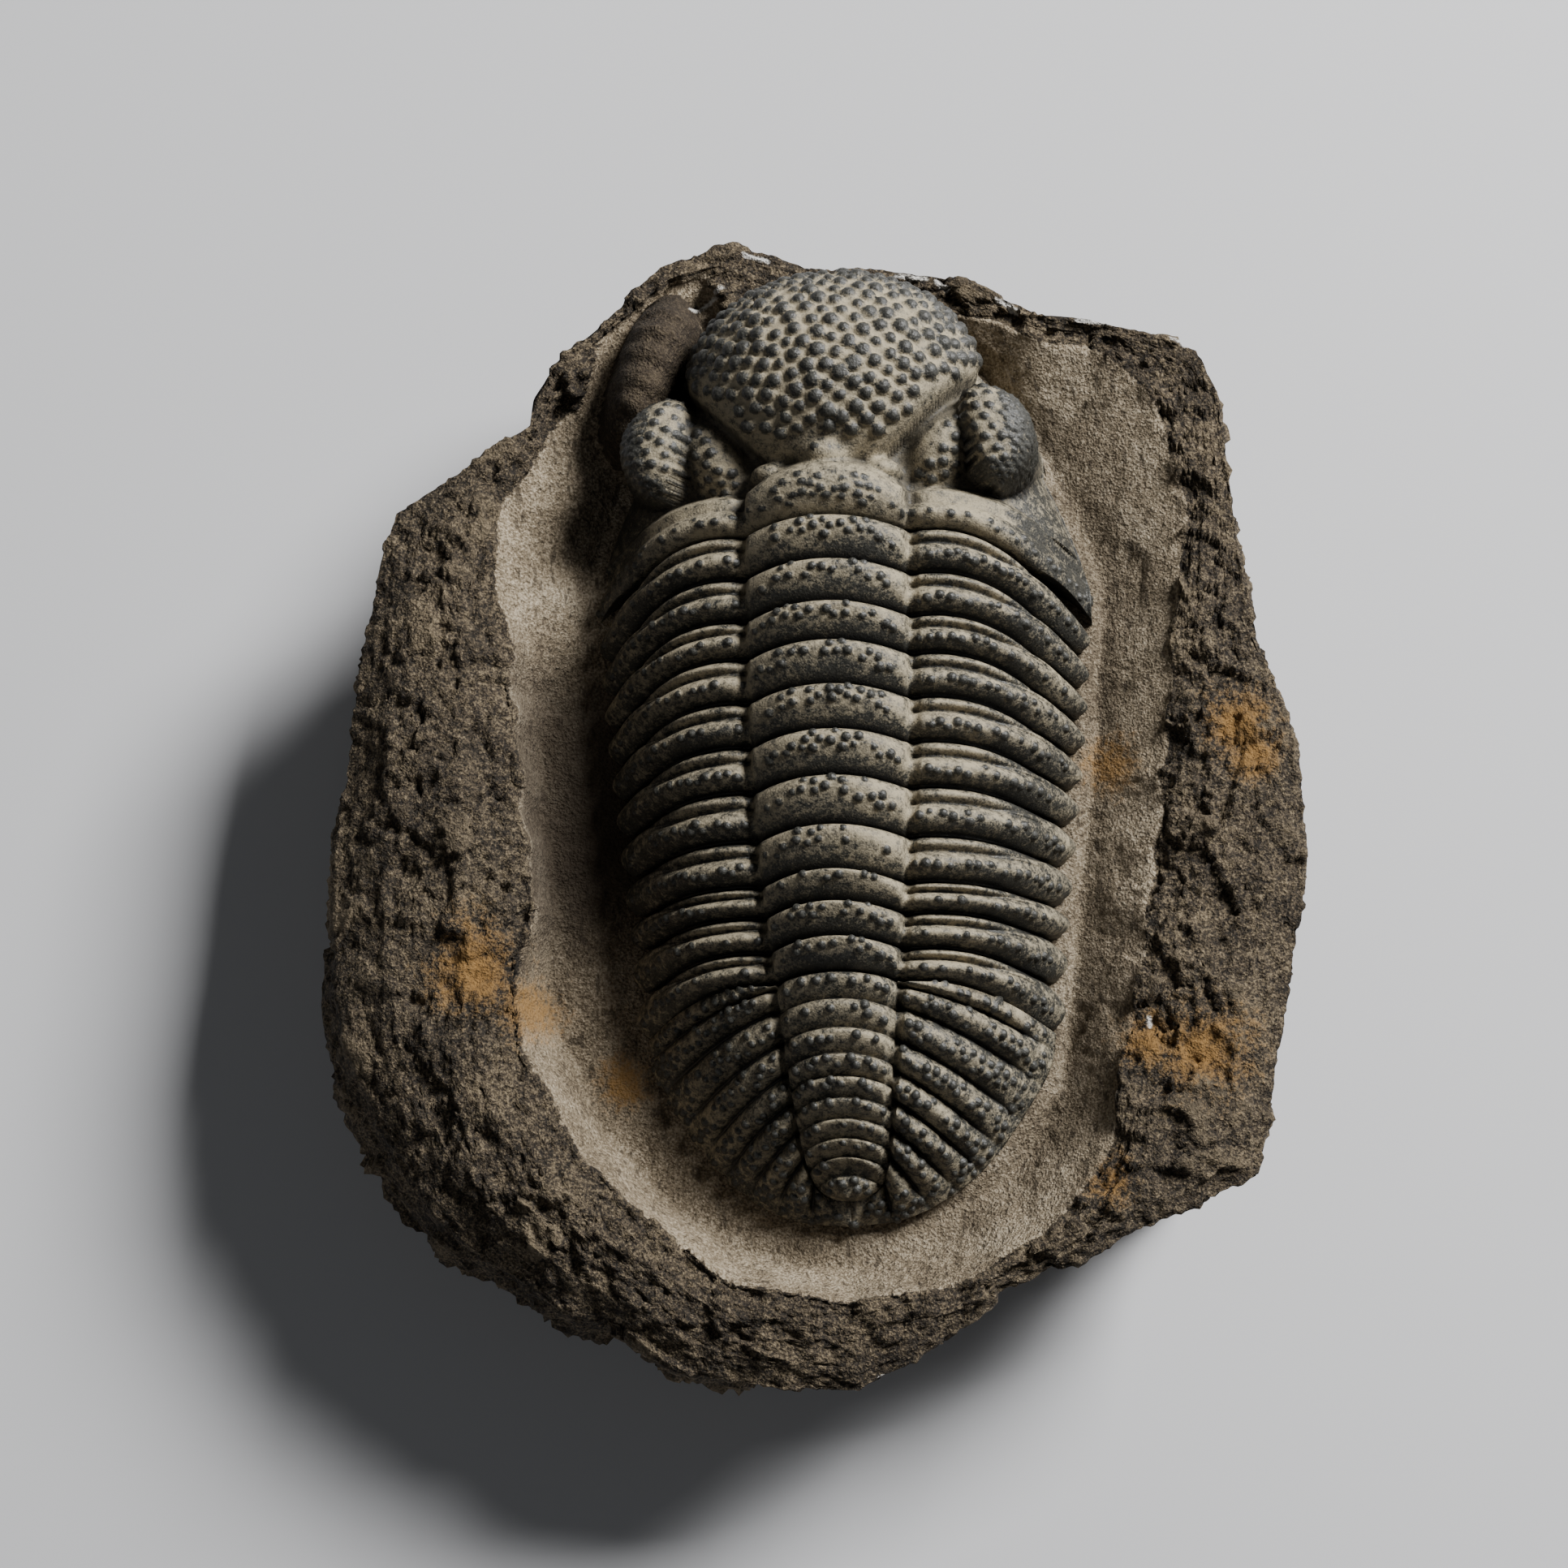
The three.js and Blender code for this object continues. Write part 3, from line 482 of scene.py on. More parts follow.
def mineral_grain_group():
    """The fine speckle of any stone here: a mask of light and dark grains, and their relief."""
    tree = bpy.data.node_groups.new("Mineral grain", "ShaderNodeTree")
    tree.interface.new_socket("Grain size", in_out="INPUT", socket_type="NodeSocketFloat").default_value = 0.4
    for key in ("Speckle", "Patches", "Relief"):
        tree.interface.new_socket(key, in_out="OUTPUT", socket_type="NodeSocketFloat")
    given = tree.nodes.new("NodeGroupInput").outputs
    result = tree.nodes.new("NodeGroupOutput").inputs
    in_mm = scaled(tree, node(tree, "ShaderNodeTexCoord").outputs["Object"], 1 / MM)
    scale = calc(tree, "DIVIDE", 1.0, given["Grain size"])
    fine = node(tree, "ShaderNodeTexNoise", {"Vector": in_mm, "Scale": scale, "Detail": 3.0, "Roughness": 0.65})
    grains = node(tree, "ShaderNodeTexVoronoi", {"Vector": in_mm, "Scale": scale}, feature="F1")
    wide = node(tree, "ShaderNodeTexNoise", {"Vector": in_mm, "Scale": 0.11, "Detail": 5.0, "Roughness": 0.62})
    tree.links.new(fine.outputs["Fac"], result["Speckle"])
    tree.links.new(wide.outputs["Fac"], result["Patches"])
    relief = added(tree, times(tree, grains.outputs["Distance"], 0.5), fine.outputs["Fac"])
    tree.links.new(relief, result["Relief"])
    return tree


mineral_grain = mineral_grain_group()


def grain_in(tree, size):
    made = tree.nodes.new("ShaderNodeGroup")
    made.node_tree = mineral_grain
    made.inputs["Grain size"].default_value = size
    return made.outputs


def attribute(tree, key):
    return node(tree, "ShaderNodeAttribute", attribute_name=key).outputs["Fac"]


# Where iron has rusted the stone: places on the block in mm, and how wide each patch is.
RUST_PATCHES = [((58, 10.5), 9), ((60, 6), 6), ((41, 6), 7), ((52, -35), 11), ((45, -33), 8), ((-45, -24), 11),
                ((-38, -28), 8), ((40, -52), 6), ((-26, -38), 7)]
# White marks: scratches beside the head and chips, each from one place in mm to the next.
SCRATCHES = [((-12.0, 73.1), (-16.8, 70.0)), ((-14.6, 66.5), (-15.9, 59.8)), ((-13.6, 65.5), (-14.7, 60.5)),
             ((-9.5, 78.2), (-6.0, 77.2)), ((12, 75.3), (16, 74.8)), ((17.5, 74.4), (19, 73.2)),
             ((26, 71.5), (29, 70)), ((37, 68.6), (43, 67.8)), ((25, 61.5), (26.5, 60)),
             ((45.4, -30), (45.6, -31)), ((9, -78), (10, -78)), ((50, 65.5), (52, 64.5))]
SCRATCH_REACH = 0.75
RIM_DARK = (0.014, 0.011, 0.008)
RIM_BROWN = (0.058, 0.044, 0.028)
RIM_LIGHT = (0.205, 0.160, 0.100)
MOAT_DARK = (0.075, 0.056, 0.035)
MOAT_BROWN = (0.225, 0.178, 0.118)
MOAT_LIGHT = (0.440, 0.370, 0.270)
FLECK = (0.045, 0.034, 0.022)
# The near-black of the moat's stain and of its painted shadow.
STAIN_AND_SHADE = (0.026, 0.018, 0.011)
RUST = (0.215, 0.115, 0.032)
CHIPPED_WHITE = (0.62, 0.60, 0.56)


def limestone_material():
    material, tree, surface = new_material("brown limestone")
    grain = grain_in(tree, 0.36)
    coarse_grain = grain_in(tree, 0.95)
    on_object = node(tree, "ShaderNodeTexCoord").outputs["Object"]
    streaks = {"Vector": on_object, "Rotation": (0, 0, 0.9), "Scale": (1100, 420, 900)}
    streaked = node(tree, "ShaderNodeMapping", streaks).outputs[0]
    flecks = node(tree, "ShaderNodeTexNoise", {"Vector": streaked, "Scale": 1.0, "Detail": 2.0})

    def mottling(patches, coarse, fine):
        """The wide, middle and fine mottling together, about 0.5 in the middle."""
        wide = swing(tree, grain["Patches"], patches)
        middle = swing(tree, coarse_grain["Speckle"], coarse)
        return added(tree, wide, middle, swing(tree, grain["Speckle"], fine), 0.5)

    rim = ramp(tree, mottling(0.7, 1.0, 1.5), (0.30, RIM_DARK), (0.52, RIM_BROWN), (0.86, RIM_LIGHT))
    moat = ramp(tree, mottling(0.8, 0.6, 1.4), (0.22, MOAT_DARK), (0.5, MOAT_BROWN), (0.80, MOAT_LIGHT))
    moat = blend(tree, mapped(tree, flecks.outputs["Fac"], 0.58, 0.68, 0.0, 0.7), moat, FLECK)
    # Where a ledge or a facet stands proud, its edge is worn pale.
    proud = calc(tree, "SUBTRACT", attribute(tree, "chip"), 0.75)
    rim = blend(tree, calc(tree, "MULTIPLY", proud, 0.45, clamp=True), rim, RIM_LIGHT)
    ragged = swing(tree, coarse_grain["Speckle"], 1.5)
    carved = mapped(tree, added(tree, attribute(tree, "carved"), ragged), 0.38, 0.62)
    colour = blend(tree, carved, rim, moat)
    # Stain and painted shadow darken the moat's floor beside the animal.
    colour = blend(tree, times(tree, attribute(tree, "stain_and_painted_shade"), 0.9), colour, STAIN_AND_SHADE)
    uneven = calc(tree, "SUBTRACT", mottling(1.6, 1.6, 1.0), 0.5)
    rust = mapped(tree, added(tree, attribute(tree, "rust"), uneven), 0.35, 0.95, 0.0, 0.85)
    colour = blend(tree, times(tree, rust, attribute(tree, "rusty")), colour, RUST)
    white = mapped(tree, times(tree, attribute(tree, "scratch"), grain["Speckle"]), 0.2, 0.45)
    colour = blend(tree, white, colour, CHIPPED_WHITE)
    relief = added(tree, grain["Relief"], times(tree, coarse_grain["Relief"], 1.2))
    bump = node(tree, "ShaderNodeBump", {"Height": relief, "Strength": 1.0, "Distance": 0.34 * MM})
    tree.links.new(colour, surface.inputs["Base Color"])
    tree.links.new(bump.outputs[0], surface.inputs["Normal"])
    surface.inputs["Roughness"].default_value = 0.9
    surface.inputs["Specular IOR Level"].default_value = 0.3
    return material


limestone = limestone_material()
block = block_mesh()


def weathered(piece):
    """Marks how rusty each point is and where it is scratched white, from its distance to those places."""
    points = points_of(piece.data) / MM
    flat, height = points[:, :2], points[:, 2]
    rust = np.zeros(len(flat))
    for middle, width in RUST_PATCHES:
        rust = np.maximum(rust, 1 - np.hypot(*(flat - middle).T) / width)
    scratch = np.zeros(len(flat))
    for start, end in SCRATCHES:
        run = np.subtract(end, start)
        along = ((flat - start) @ run / (run @ run)).clip(0, 1)
        away = np.hypot(*(flat - start - along[:, None] * run).T)
        scratch = np.maximum(scratch, 1 - away / SCRATCH_REACH)
    scratch *= step(29, 32, height)  # only the top was scratched
    for key, values in {"rust": rust, "rusty": rust > 0, "scratch": scratch}.items():
        store(piece.data, key, np.clip(values, 0, 1))


def kept_inside(piece):
    """Holds a piece's points within the CAD model's box and off the surface that the block lies on."""
    low, high = (np.array(corner) for corner in cad_box)
    held = points_of(piece.data).clip(low, high).astype(np.float32)
    piece.data.vertices.foreach_set("co", held.ravel())
    piece.data.update()


broken_stone = broken_stone_tree()
shaped_by(block, broken_stone, {"Facet depth": 1.8, "Ledge height": 0.7, "Grain depth": 0.6,
                                "Carved share": 0.22, "Material": limestone})
weathered(block)
kept_inside(block)
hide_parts("limestone_block")
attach(block, "root")


# The thorax.
# Eleven separate plates of dark calcite, each one band from tip to tip over a raised axial ring. In life
# each hinged on the next, its rear edge lying over the next one's front. Small tubercles grow in rows on them.

# The edges between the plates on the animal's middle line, and how far each edge's ends are swept back.
RING_Y = [34.6, 28.5, 22.6, 17.3, 11.3, 5.2, -1.0, -7.6, -13.7, -17.8, -22.4, -26.8]
EDGE_SWEEP = [9.4, 8.1, 7.0, 6.1, 5.0, 3.8, 2.5, 1.4, 0.8, 1.4, 3.0, 5.4]
PLATE_GAP = 0.34
RING_ARCH = 4.2
FURROW_DROP = 5.4
TIP_HEIGHT = 2.0
TIP_START = 0.93  # the tip is rounded off from this share of the reach on
RING_BOW = 1.3  # how far the middle of every ring's edge is bowed towards the head
BOWED_SHARE = 0.31
SWEEP_START = 0.44
SWEEP_CURVE = 1.9
ACROSS = 331
ALONG = 56
# By place along the animal: half the axis's width, the axis's height, and how far a flank reaches.
axis_half = through((-57, 3.4), (-50, 5.4), (-27, 8.0), (-14, 9.4), (8, 10.6), (42, 10.8))
crest_height = through((-57, 5), (-50, 13), (-40, 19.5), (-27, 23.4), (-10, 26), (15, 27), (42, 26.6))
flank_reach = through((-33, 28.2), (-20, 29.6), (0, 31.6), (20, 33.4), (34, 34.2), (42, 34.4))
# By share of that reach: how far a flank has dropped to its tip, and how high its front band stands.
flank_drop = through((0.3, 0), (0.42, -0.02), (0.54, 0.04), (0.63, 0.12), (0.76, 0.33), (0.88, 0.64), (1, 1))
crescent = through((0.32, 0.6), (0.42, 0.95), (0.6, 1.0), (0.78, 0.6), (0.92, 0))


def hill(x, middle, half):
    return np.maximum(0, 1 - ((x - middle) / half) ** 2) ** 0.75


def edge_at(edge, w):
    """Where an edge (y, sweep) stands: bowed forward over the ring, and curved back towards the tip."""
    y, sweep = edge
    bow = RING_BOW * np.maximum(0, 1 - (w / BOWED_SHARE) ** 2)
    return y + bow - sweep * np.maximum(0, (np.abs(w) - SWEEP_START) / (1 - SWEEP_START)) ** SWEEP_CURVE


def arch_at(w, y):
    """The bare arch at share w of a flank's reach: its height, and how far it belongs to the ring (1 to 0)."""
    share = np.abs(w)
    crest = crest_height(y)
    lobe = axis_half(y) / flank_reach(y)
    ring = crest - RING_ARCH * np.minimum(share / lobe, 1.05) ** 2.4
    flank = mix(crest - FURROW_DROP, TIP_HEIGHT, flank_drop(share))
    on_ring = 1 - step(0.97, 1.05, share / lobe)
    trough = 0.5 * hill(share / lobe, 1.07, 0.09)
    return mix(flank, ring, on_ring) - trough, on_ring


def ring_relief(v):
    """A thick round bar, steep in front and falling away to the rear."""
    return 3.5 * hill(np.maximum(v, 0) ** 0.8, 0.48, 0.55) - 2.3


def flank_relief(v, share):
    """Across a flank: a thin band in front, the dark furrow, and the thick band behind."""
    front_band = 1.9 * hill(v, 0.16, 0.17) * crescent(share)
    outward = step(0.68, 0.96, share)  # towards the tip the thick band takes up the whole plate
    rear_band = mix(2.7, 2.2, outward) * hill(v, mix(0.63, 0.53, outward), mix(0.33, 0.53, outward))
    return front_band + rear_band - 1.4


def band_grid(front, rear):
    """A plate's points in the animal's frame and their values. front and rear are (y, sweep) of its edges."""
    w = np.sin(np.linspace(-1, 1, ACROSS) * math.pi / 2 * 0.86) / math.sin(math.pi / 2 * 0.86)
    w, v = np.meshgrid(w, np.linspace(0, 1, ALONG))
    share = np.abs(w)
    axis_y = mix(front[0], rear[0], v)
    height, on_ring = arch_at(w, axis_y)
    ahead, _ = arch_at(share + 0.01, axis_y)
    behind, _ = arch_at(share - 0.01, axis_y)
    slope = np.arctan((ahead - behind) / (0.02 * flank_reach(axis_y))) * (1 - on_ring) * step(0.45, 0.6, share)
    lift = mix(flank_relief(v, share), ring_relief(v), on_ring)
    lobe = axis_half(axis_y) / flank_reach(axis_y)
    bow = 1.2 * np.maximum(0, 1 - (share / lobe) ** 2) * np.sin(math.pi * v)
    x = share * flank_reach(axis_y) - lift * np.sin(slope)
    y = mix(edge_at(front, w), edge_at(rear, w), v) + bow
    z = height + lift * np.cos(slope)
    # The tip is rounded off bluntly: towards it the section shrinks to half its length.
    near = np.clip((share - TIP_START) / (1 - TIP_START), 0, 1)
    shrink = np.sqrt(np.maximum(0, 1 - near**2))
    middle_y = y[int(ALONG * 0.55)][None, :]
    y = mix(middle_y, y, mix(0.5, 1, shrink))
    z = np.maximum(mix(TIP_HEIGHT * 0.4, z, mix(0.45, 1, shrink)), 0.5)
    points = np.stack([x * np.sign(w), y, z], axis=-1)
    return points, {"w": w, "v": v, "on_ring": on_ring, "lift": lift}


def blurred(field, reach):
    """A grid's running mean over 2 * reach + 1 rows and columns."""
    for axis in (0, 1):
        padded = np.concatenate([np.repeat(field.take([0], axis), reach, axis), field,
                                 np.repeat(field.take([-1], axis), reach, axis)], axis)
        total = np.cumsum(np.concatenate([np.zeros_like(padded.take([0], axis)), padded], axis), axis)
        size = 2 * reach + 1
        count = field.shape[axis]
        field = (total.take(range(size, size + count), axis) - total.take(range(count), axis)) / size
    return field


def standing(points, value_grids):
    """The closed solid between a grid of points and the animal's seat, as points, faces and values."""
    columns = points.shape[1]
    falls = (0, 0.35, 0.7, 0.92)

    def skirt(edge, share):
        return edge * (1, 1, share)

    layers = [skirt(points[:1], share) for share in falls] + [points]
    layers += [skirt(points[-1:], share) for share in falls[::-1]]
    grid = np.concatenate(layers)
    index = np.arange(len(grid) * columns).reshape(-1, columns)
    quads = np.stack([index[:-1, :-1], index[1:, :-1], index[1:, 1:], index[:-1, 1:]], axis=-1).reshape(-1, 4)
    seat = np.stack([index[-1, :-1], index[0, :-1], index[0, 1:], index[-1, 1:]], axis=-1)
    faces = quads.tolist() + seat.tolist() + [index[::-1, 0].tolist(), index[:, -1].tolist()]
    bare = np.zeros((len(falls), columns))
    values = {key: np.concatenate([bare, field, bare]).ravel() for key, field in value_grids.items()}
    return grid.reshape(-1, 3), faces, values


def tubercle_tree():
    """Grows rounded knobs out of a skin where a named value on it allows, no two closer than the spacing."""
    tree, given, result = new_geometry_tree("Tubercles", {
        "Where": ("String", "knobs"),
        "Spacing": ("Float", 2.3),
        "Radius": ("Float", 0.9),
        "Height": ("Float", 0.7),
        "Bluntness": ("Float", 0.6),
        "Seed": ("Int", 1),
        "Material": ("Material", None),
    })
    spread = {"Mesh": given["Geometry"], "Distance Min": times(tree, given["Spacing"], MM), "Density Max": 6e6,
              "Density Factor": named_value(tree, given["Where"]), "Seed": given["Seed"]}
    thrown = node(tree, "GeometryNodeDistributePointsOnFaces", spread, distribute_method="POISSON")
    seats = thrown.outputs["Points"]
    nearest = node(tree, "GeometryNodeSampleNearest", {"Geometry": seats}, domain="POINT").outputs[0]
    position = node(tree, "GeometryNodeInputPosition").outputs[0]
    seat = node(tree, "GeometryNodeSampleIndex", {"Geometry": seats, "Value": position, "Index": nearest},
                data_type="FLOAT_VECTOR", domain="POINT").outputs[0]
    sizes = {"Min": 0.72, "Max": 1.12, "ID": nearest, "Seed": given["Seed"]}
    size = next(s for s in node(tree, "FunctionNodeRandomValue", sizes, data_type="FLOAT").outputs if s.enabled)
    reach = times(tree, given["Radius"], size, MM)
    away = calc(tree, "DIVIDE", vector_calc(tree, "DISTANCE", position, seat), reach)
    round_top = calc(tree, "MAXIMUM", calc(tree, "SUBTRACT", 1.0, times(tree, away, away)), 0.0)
    knob = calc(tree, "POWER", round_top, given["Bluntness"])
    rise = times(tree, knob, size, times(tree, given["Height"], MM))
    highest = calc(tree, "MAXIMUM", knob, named_value(tree, "knob"))
    finish_tree(tree, given, result, "knob", highest, rise)
    return tree


SHELL_DARK = (0.013, 0.013, 0.011)
SHELL_GREY = (0.060, 0.058, 0.049)
DUST = (0.300, 0.255, 0.172)
PAINTED_SHADE_BLACK = (0.010, 0.009, 0.008)


def shell_material():
    """Dark calcite shell: black on its knobs, with a thin tan film of rock between them and on the crests, and
    painted shade that blackens its furrows and thins the film on slopes away from the light.
    """
    material, tree, surface = new_material("dark calcite shell")
    grain = grain_in(tree, 0.3)
    worn = grain_in(tree, 1.1)
    bare = ramp(tree, grain["Speckle"], (0.35, SHELL_DARK), (0.68, SHELL_GREY))
    patchy = swing(tree, grain["Patches"], 1.3)
    spots = added(tree, swing(tree, grain["Speckle"], 1.4), swing(tree, worn["Speckle"], 2.2))
    cover = added(tree, attribute(tree, "film_and_painted_shade"), patchy, spots)
    cover = calc(tree, "SUBTRACT", cover, times(tree, attribute(tree, "knob"), 1.4))
    cover = mapped(tree, cover, 0.1, 0.85)
    colour = blend(tree, cover, bare, DUST)
    # Painted shade: furrows and hollows are darkened towards near black.
    painted_furrow_shade = calc(tree, "MULTIPLY", attribute(tree, "painted_furrow_shade"), 0.85, clamp=True)
    colour = blend(tree, painted_furrow_shade, colour, PAINTED_SHADE_BLACK)
    rough = mapped(tree, cover, 0.0, 1.0, 0.48, 0.8)
    bump = node(tree, "ShaderNodeBump", {"Height": grain["Relief"], "Strength": 0.5, "Distance": 0.16 * MM})
    tree.links.new(colour, surface.inputs["Base Color"])
    tree.links.new(rough, surface.inputs["Roughness"])
    tree.links.new(bump.outputs[0], surface.inputs["Normal"])
    surface.inputs["Specular IOR Level"].default_value = 0.45
    return material


shell = shell_material()
tubercles = tubercle_tree()


def grow_tubercles(piece, where, spacing, radius, height, seed):
    shaped_by(piece, tubercles, {"Where": where, "Spacing": spacing, "Radius": radius, "Height": height,
                                 "Seed": seed, "Material": shell})


def finish_plate(piece, node_name):
    kept_inside(piece)
    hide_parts(node_name)
    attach(piece, "root")


def band_values(given):
    """Where a band has tubercles, how dark its furrows are painted as shade, and how much tan film is left on
    it, thinned by painted shade on its rear slope.
    """
    v, share, on_ring, low = given["v"], np.abs(given["w"]), given["on_ring"], given["lift"]
    rows_on_ring = (hill(v, 0.30, 0.12) * step(0.0, 0.1, 0.24 - share) + hill(v, 0.55, 0.13)) * (share < 0.29)
    rows_on_flank = hill(v, 0.66, 0.12) * step(0.33, 0.37, share)
    knobs = np.where(on_ring > 0.9, rows_on_ring, rows_on_flank * (1 - on_ring)) * (share < 0.95)
    # Painted shade in the furrows, where the band lies low.
    painted_furrow_shade = step(-0.3, -1.4, low)
    # The tan film is real; it is thinned on each band's rear slope and in low places as painted shade.
    film_and_painted_shade = 0.60 * (1 - 0.55 * step(0.6, 0.92, share)) * step(-1.3, 0.8, low) * (1 - 0.6 * step(0.5, 0.9, v))
    film_and_painted_shade = np.maximum(film_and_painted_shade, 0.62 * hill(share, 0.325, 0.03) * (1 - step(0.7, 0.95, v)))
    return {"knobs": knobs.clip(0, 1), "knob": np.zeros_like(v), "painted_furrow_shade": painted_furrow_shade, "film_and_painted_shade": film_and_painted_shade}


def thorax_segment(number):
    front = (RING_Y[number - 1] - PLATE_GAP / 2, EDGE_SWEEP[number - 1])
    rear = (RING_Y[number] + PLATE_GAP / 2, EDGE_SWEEP[number])
    points, given = band_grid(front, rear)
    solid, faces, values = standing(points, band_values(given))
    piece = new_piece(f"plate_{number:02d}", in_block(solid), faces, values)
    grow_tubercles(piece, "knobs", 1.25, 0.62, 0.42, 19 + number)
    finish_plate(piece, f"thorax_segment_{number:02d}")


for number in range(1, 12):
    thorax_segment(number)


# The tail shield.
# One plate of dark calcite: the rings of the axis and the ribs of the flanks are fused in it. The ribs fan
# out from the axis until the last ones point straight back, and each carries two uneven rows of tubercles.

TAIL_RING_Y = [-26.8, -30.4, -34.1, -37.4, -40.3, -43.0, -45.6, -48.0, -50.3, -52.4, -54.2]
TAIL_ROWS = 250
TAIL_COLUMNS = 311
AXIS_COLUMNS_SHARE = 0.3
TAIL_SEAM = 0.03  # behind the axis the two sides are kept this far off the middle, so no faces coincide
# The margin, from the front corner (0) to the middle of the rear (1).
tail_margin_x = through((0, 28.2), (0.15, 27.4), (0.33, 24.0), (0.52, 19.4), (0.7, 14.2), (0.86, 7.6), (1, 0))
tail_margin_y = through((0, -32.4), (0.15, -36.6), (0.33, -42.4), (0.52, -48.6), (0.7, -53.2), (0.86, -56.4),
                        (1, -57.5))
# Where a line from each place of the margin meets the axis, and how many ribs lie before it.
axis_share = through((0, 0), (0.15, 0.035), (0.3, 0.14), (0.43, 0.26), (0.53, 0.38), (0.64, 0.52), (0.74, 0.66),
                     (1, 1))
ribs_before = through((0, -0.5), (0.07, 0), (0.225, 1), (0.365, 2), (0.48, 3), (0.585, 4), (0.69, 5),
                      (0.79, 6), (0.9, 7), (1, 8))


def tail_grid():
    rings = len(TAIL_RING_Y) - 1
    m = np.linspace(0, 1, TAIL_ROWS)[:, None]
    s = axis_share(m)
    side = np.linspace(-1, 1, TAIL_COLUMNS)[None, :]
    share = np.abs(side)
    axis_y = np.interp(s * rings, np.arange(rings + 1), TAIL_RING_Y)
    half = axis_half(TAIL_RING_Y[0]) * (1 - 0.40 * s) * np.sqrt(np.maximum(0, 1 - s**12)) + TAIL_SEAM
    crest = crest_height(axis_y)
    on_axis = share <= AXIS_COLUMNS_SHARE
    t = np.clip(share / AXIS_COLUMNS_SHARE, 0, 1)
    q = np.clip((share - AXIS_COLUMNS_SHARE) / (1 - AXIS_COLUMNS_SHARE), 0, 1)
    fade = 1 - step(0.9, 1, m)
    ring_v = (s * rings) % 1
    rib_v = ribs_before(m) % 1
    rib_end = mix(0.99, 0.86, step(0.5, 0.95, m))
    ring_lift = (2.1 * hill(ring_v**0.85, 0.5, 0.52) - 1.1) * fade
    rib_lift = (2.5 * hill(rib_v, 0.52, 0.47) - 1.1) * fade * (1 - 0.8 * step(rib_end - 0.3, rib_end, q))
    furrow = 1.1 * hill(q, 0.0, 0.07) + 0.9 * hill(t, 1.0, 0.14)
    bow = np.sin(math.pi * q) * (1 - m)
    ring_bow = (RING_BOW + 0.5 * np.sin(math.pi * ring_v)) * (1 - t**2) * fade
    flank_z = mix(crest - 4.0, TIP_HEIGHT + 1, q**1.8) + rib_lift
    axis_z = crest - 3.0 * t**2.4 + ring_lift
    x = np.where(on_axis, half * t, mix(half, tail_margin_x(m) + TAIL_SEAM, q)) * np.sign(side)
    y = np.where(on_axis, axis_y + ring_bow, mix(axis_y, tail_margin_y(m), q) + bow) + 0 * side
    z = np.where(on_axis, axis_z, flank_z) - furrow * fade
    # The first rows lie against the last plate of the thorax.
    front_edge = edge_at((RING_Y[11] - PLATE_GAP / 2, EDGE_SWEEP[11]), x / flank_reach(RING_Y[11]))
    y = np.minimum(y, front_edge - m * 4)
    y[0] = front_edge[0]
    rib_rows = np.maximum(hill(rib_v, 0.38, 0.16), hill(rib_v, 0.68, 0.14))
    rib_rows = np.maximum(rib_rows, 0.5 * step(rib_end - 0.2, rib_end, q))
    values = {
        "knobs": np.where(on_axis, hill(ring_v, 0.45, 0.24) * (t < 0.9), rib_rows * (q > 0.06)) * (q < 0.97),
        "knob": np.zeros_like(x),
        # Painted shade in the furrows between the rings and between the ribs.
        "painted_furrow_shade": np.maximum(np.where(on_axis, step(-0.3, -0.95, ring_lift), step(-0.2, -0.9, rib_lift)),
                           0.6 * hill(q, 0, 0.05) * ~on_axis) * fade,
        # More tan film on the raised rings and ribs and less in the furrows between them: partly painted shade.
        "film_and_painted_shade": mix(0.36, 0.24, q) + 0.14 * np.where(on_axis, ring_lift, rib_lift),
    }
    return np.stack([x, y, np.maximum(z, 0.6)], axis=-1), values


tail_points, tail_values = tail_grid()
tail_solid, tail_faces, tail_values = standing(tail_points, tail_values)
tail = new_piece("tail_shield", in_block(tail_solid), tail_faces, tail_values)
grow_tubercles(tail, "knobs", 1.25, 0.64, 0.48, 41)
finish_plate(tail, "pygidium")


# The head shield.
# One plate of dark calcite. The glabella is swollen like a ball and thick with tubercles, an eye like a turret
# stands on each cheek with its lenses in rows, and behind a deep furrow lies the occipital ring.

OCCIPITAL = (39.9, 6.4)
OCCIPITAL_BOW = 1.5  # more bow than the other rings have
HEAD_REAR = (RING_Y[0] + PLATE_GAP / 2, EDGE_SWEEP[0])
HEAD_COLUMNS = 340
HEAD_ROWS = 270
HEAD_HALF_WIDTH = 34.6
HEAD_Y = 38.0  # the arch of the whole head's rear is taken here
RAY_BASE = np.array((0, 44, -40))  # the skin is found along rays that fan out from here
HEAD_TOP = 31
# The head's outline: half its width by place, and both by share of the way from its rear corner to its front.
head_margin = through((20, 34.6), (26, 34.6), (30.4, 34.4), (40, 31.2), (50.2, 26.6), (56, 23.8), (61, 20.4),
                      (65, 16.4), (67.6, 12.4), (69.6, 6.6), (70.4, 0))
cheek_height = through((34, 19.2), (42, 18.8), (48, 18.0), (56, 14.5), (64, 8), (71, 2))
head_margin_x = through((0, 34.6), (0.1, 34.4), (0.3, 31.2), (0.5, 26.6), (0.7, 20.4), (0.86, 12.4), (1, 0))
head_margin_y = through((0, 26.0), (0.1, 30.4), (0.3, 40), (0.5, 50.2), (0.7, 61), (0.86, 67.6), (1, 70.4))


def lump(p, middle, radii):
    """About how far points lie outside an ellipsoid."""
    d = (p - np.array(middle)) / np.array(radii)
    e = d / np.array(radii)
    k0 = np.sqrt((d * d).sum(-1)) + 1e-9
    k1 = np.sqrt((e * e).sum(-1)) + 1e-9
    return k0 * (k0 - 1) / k1


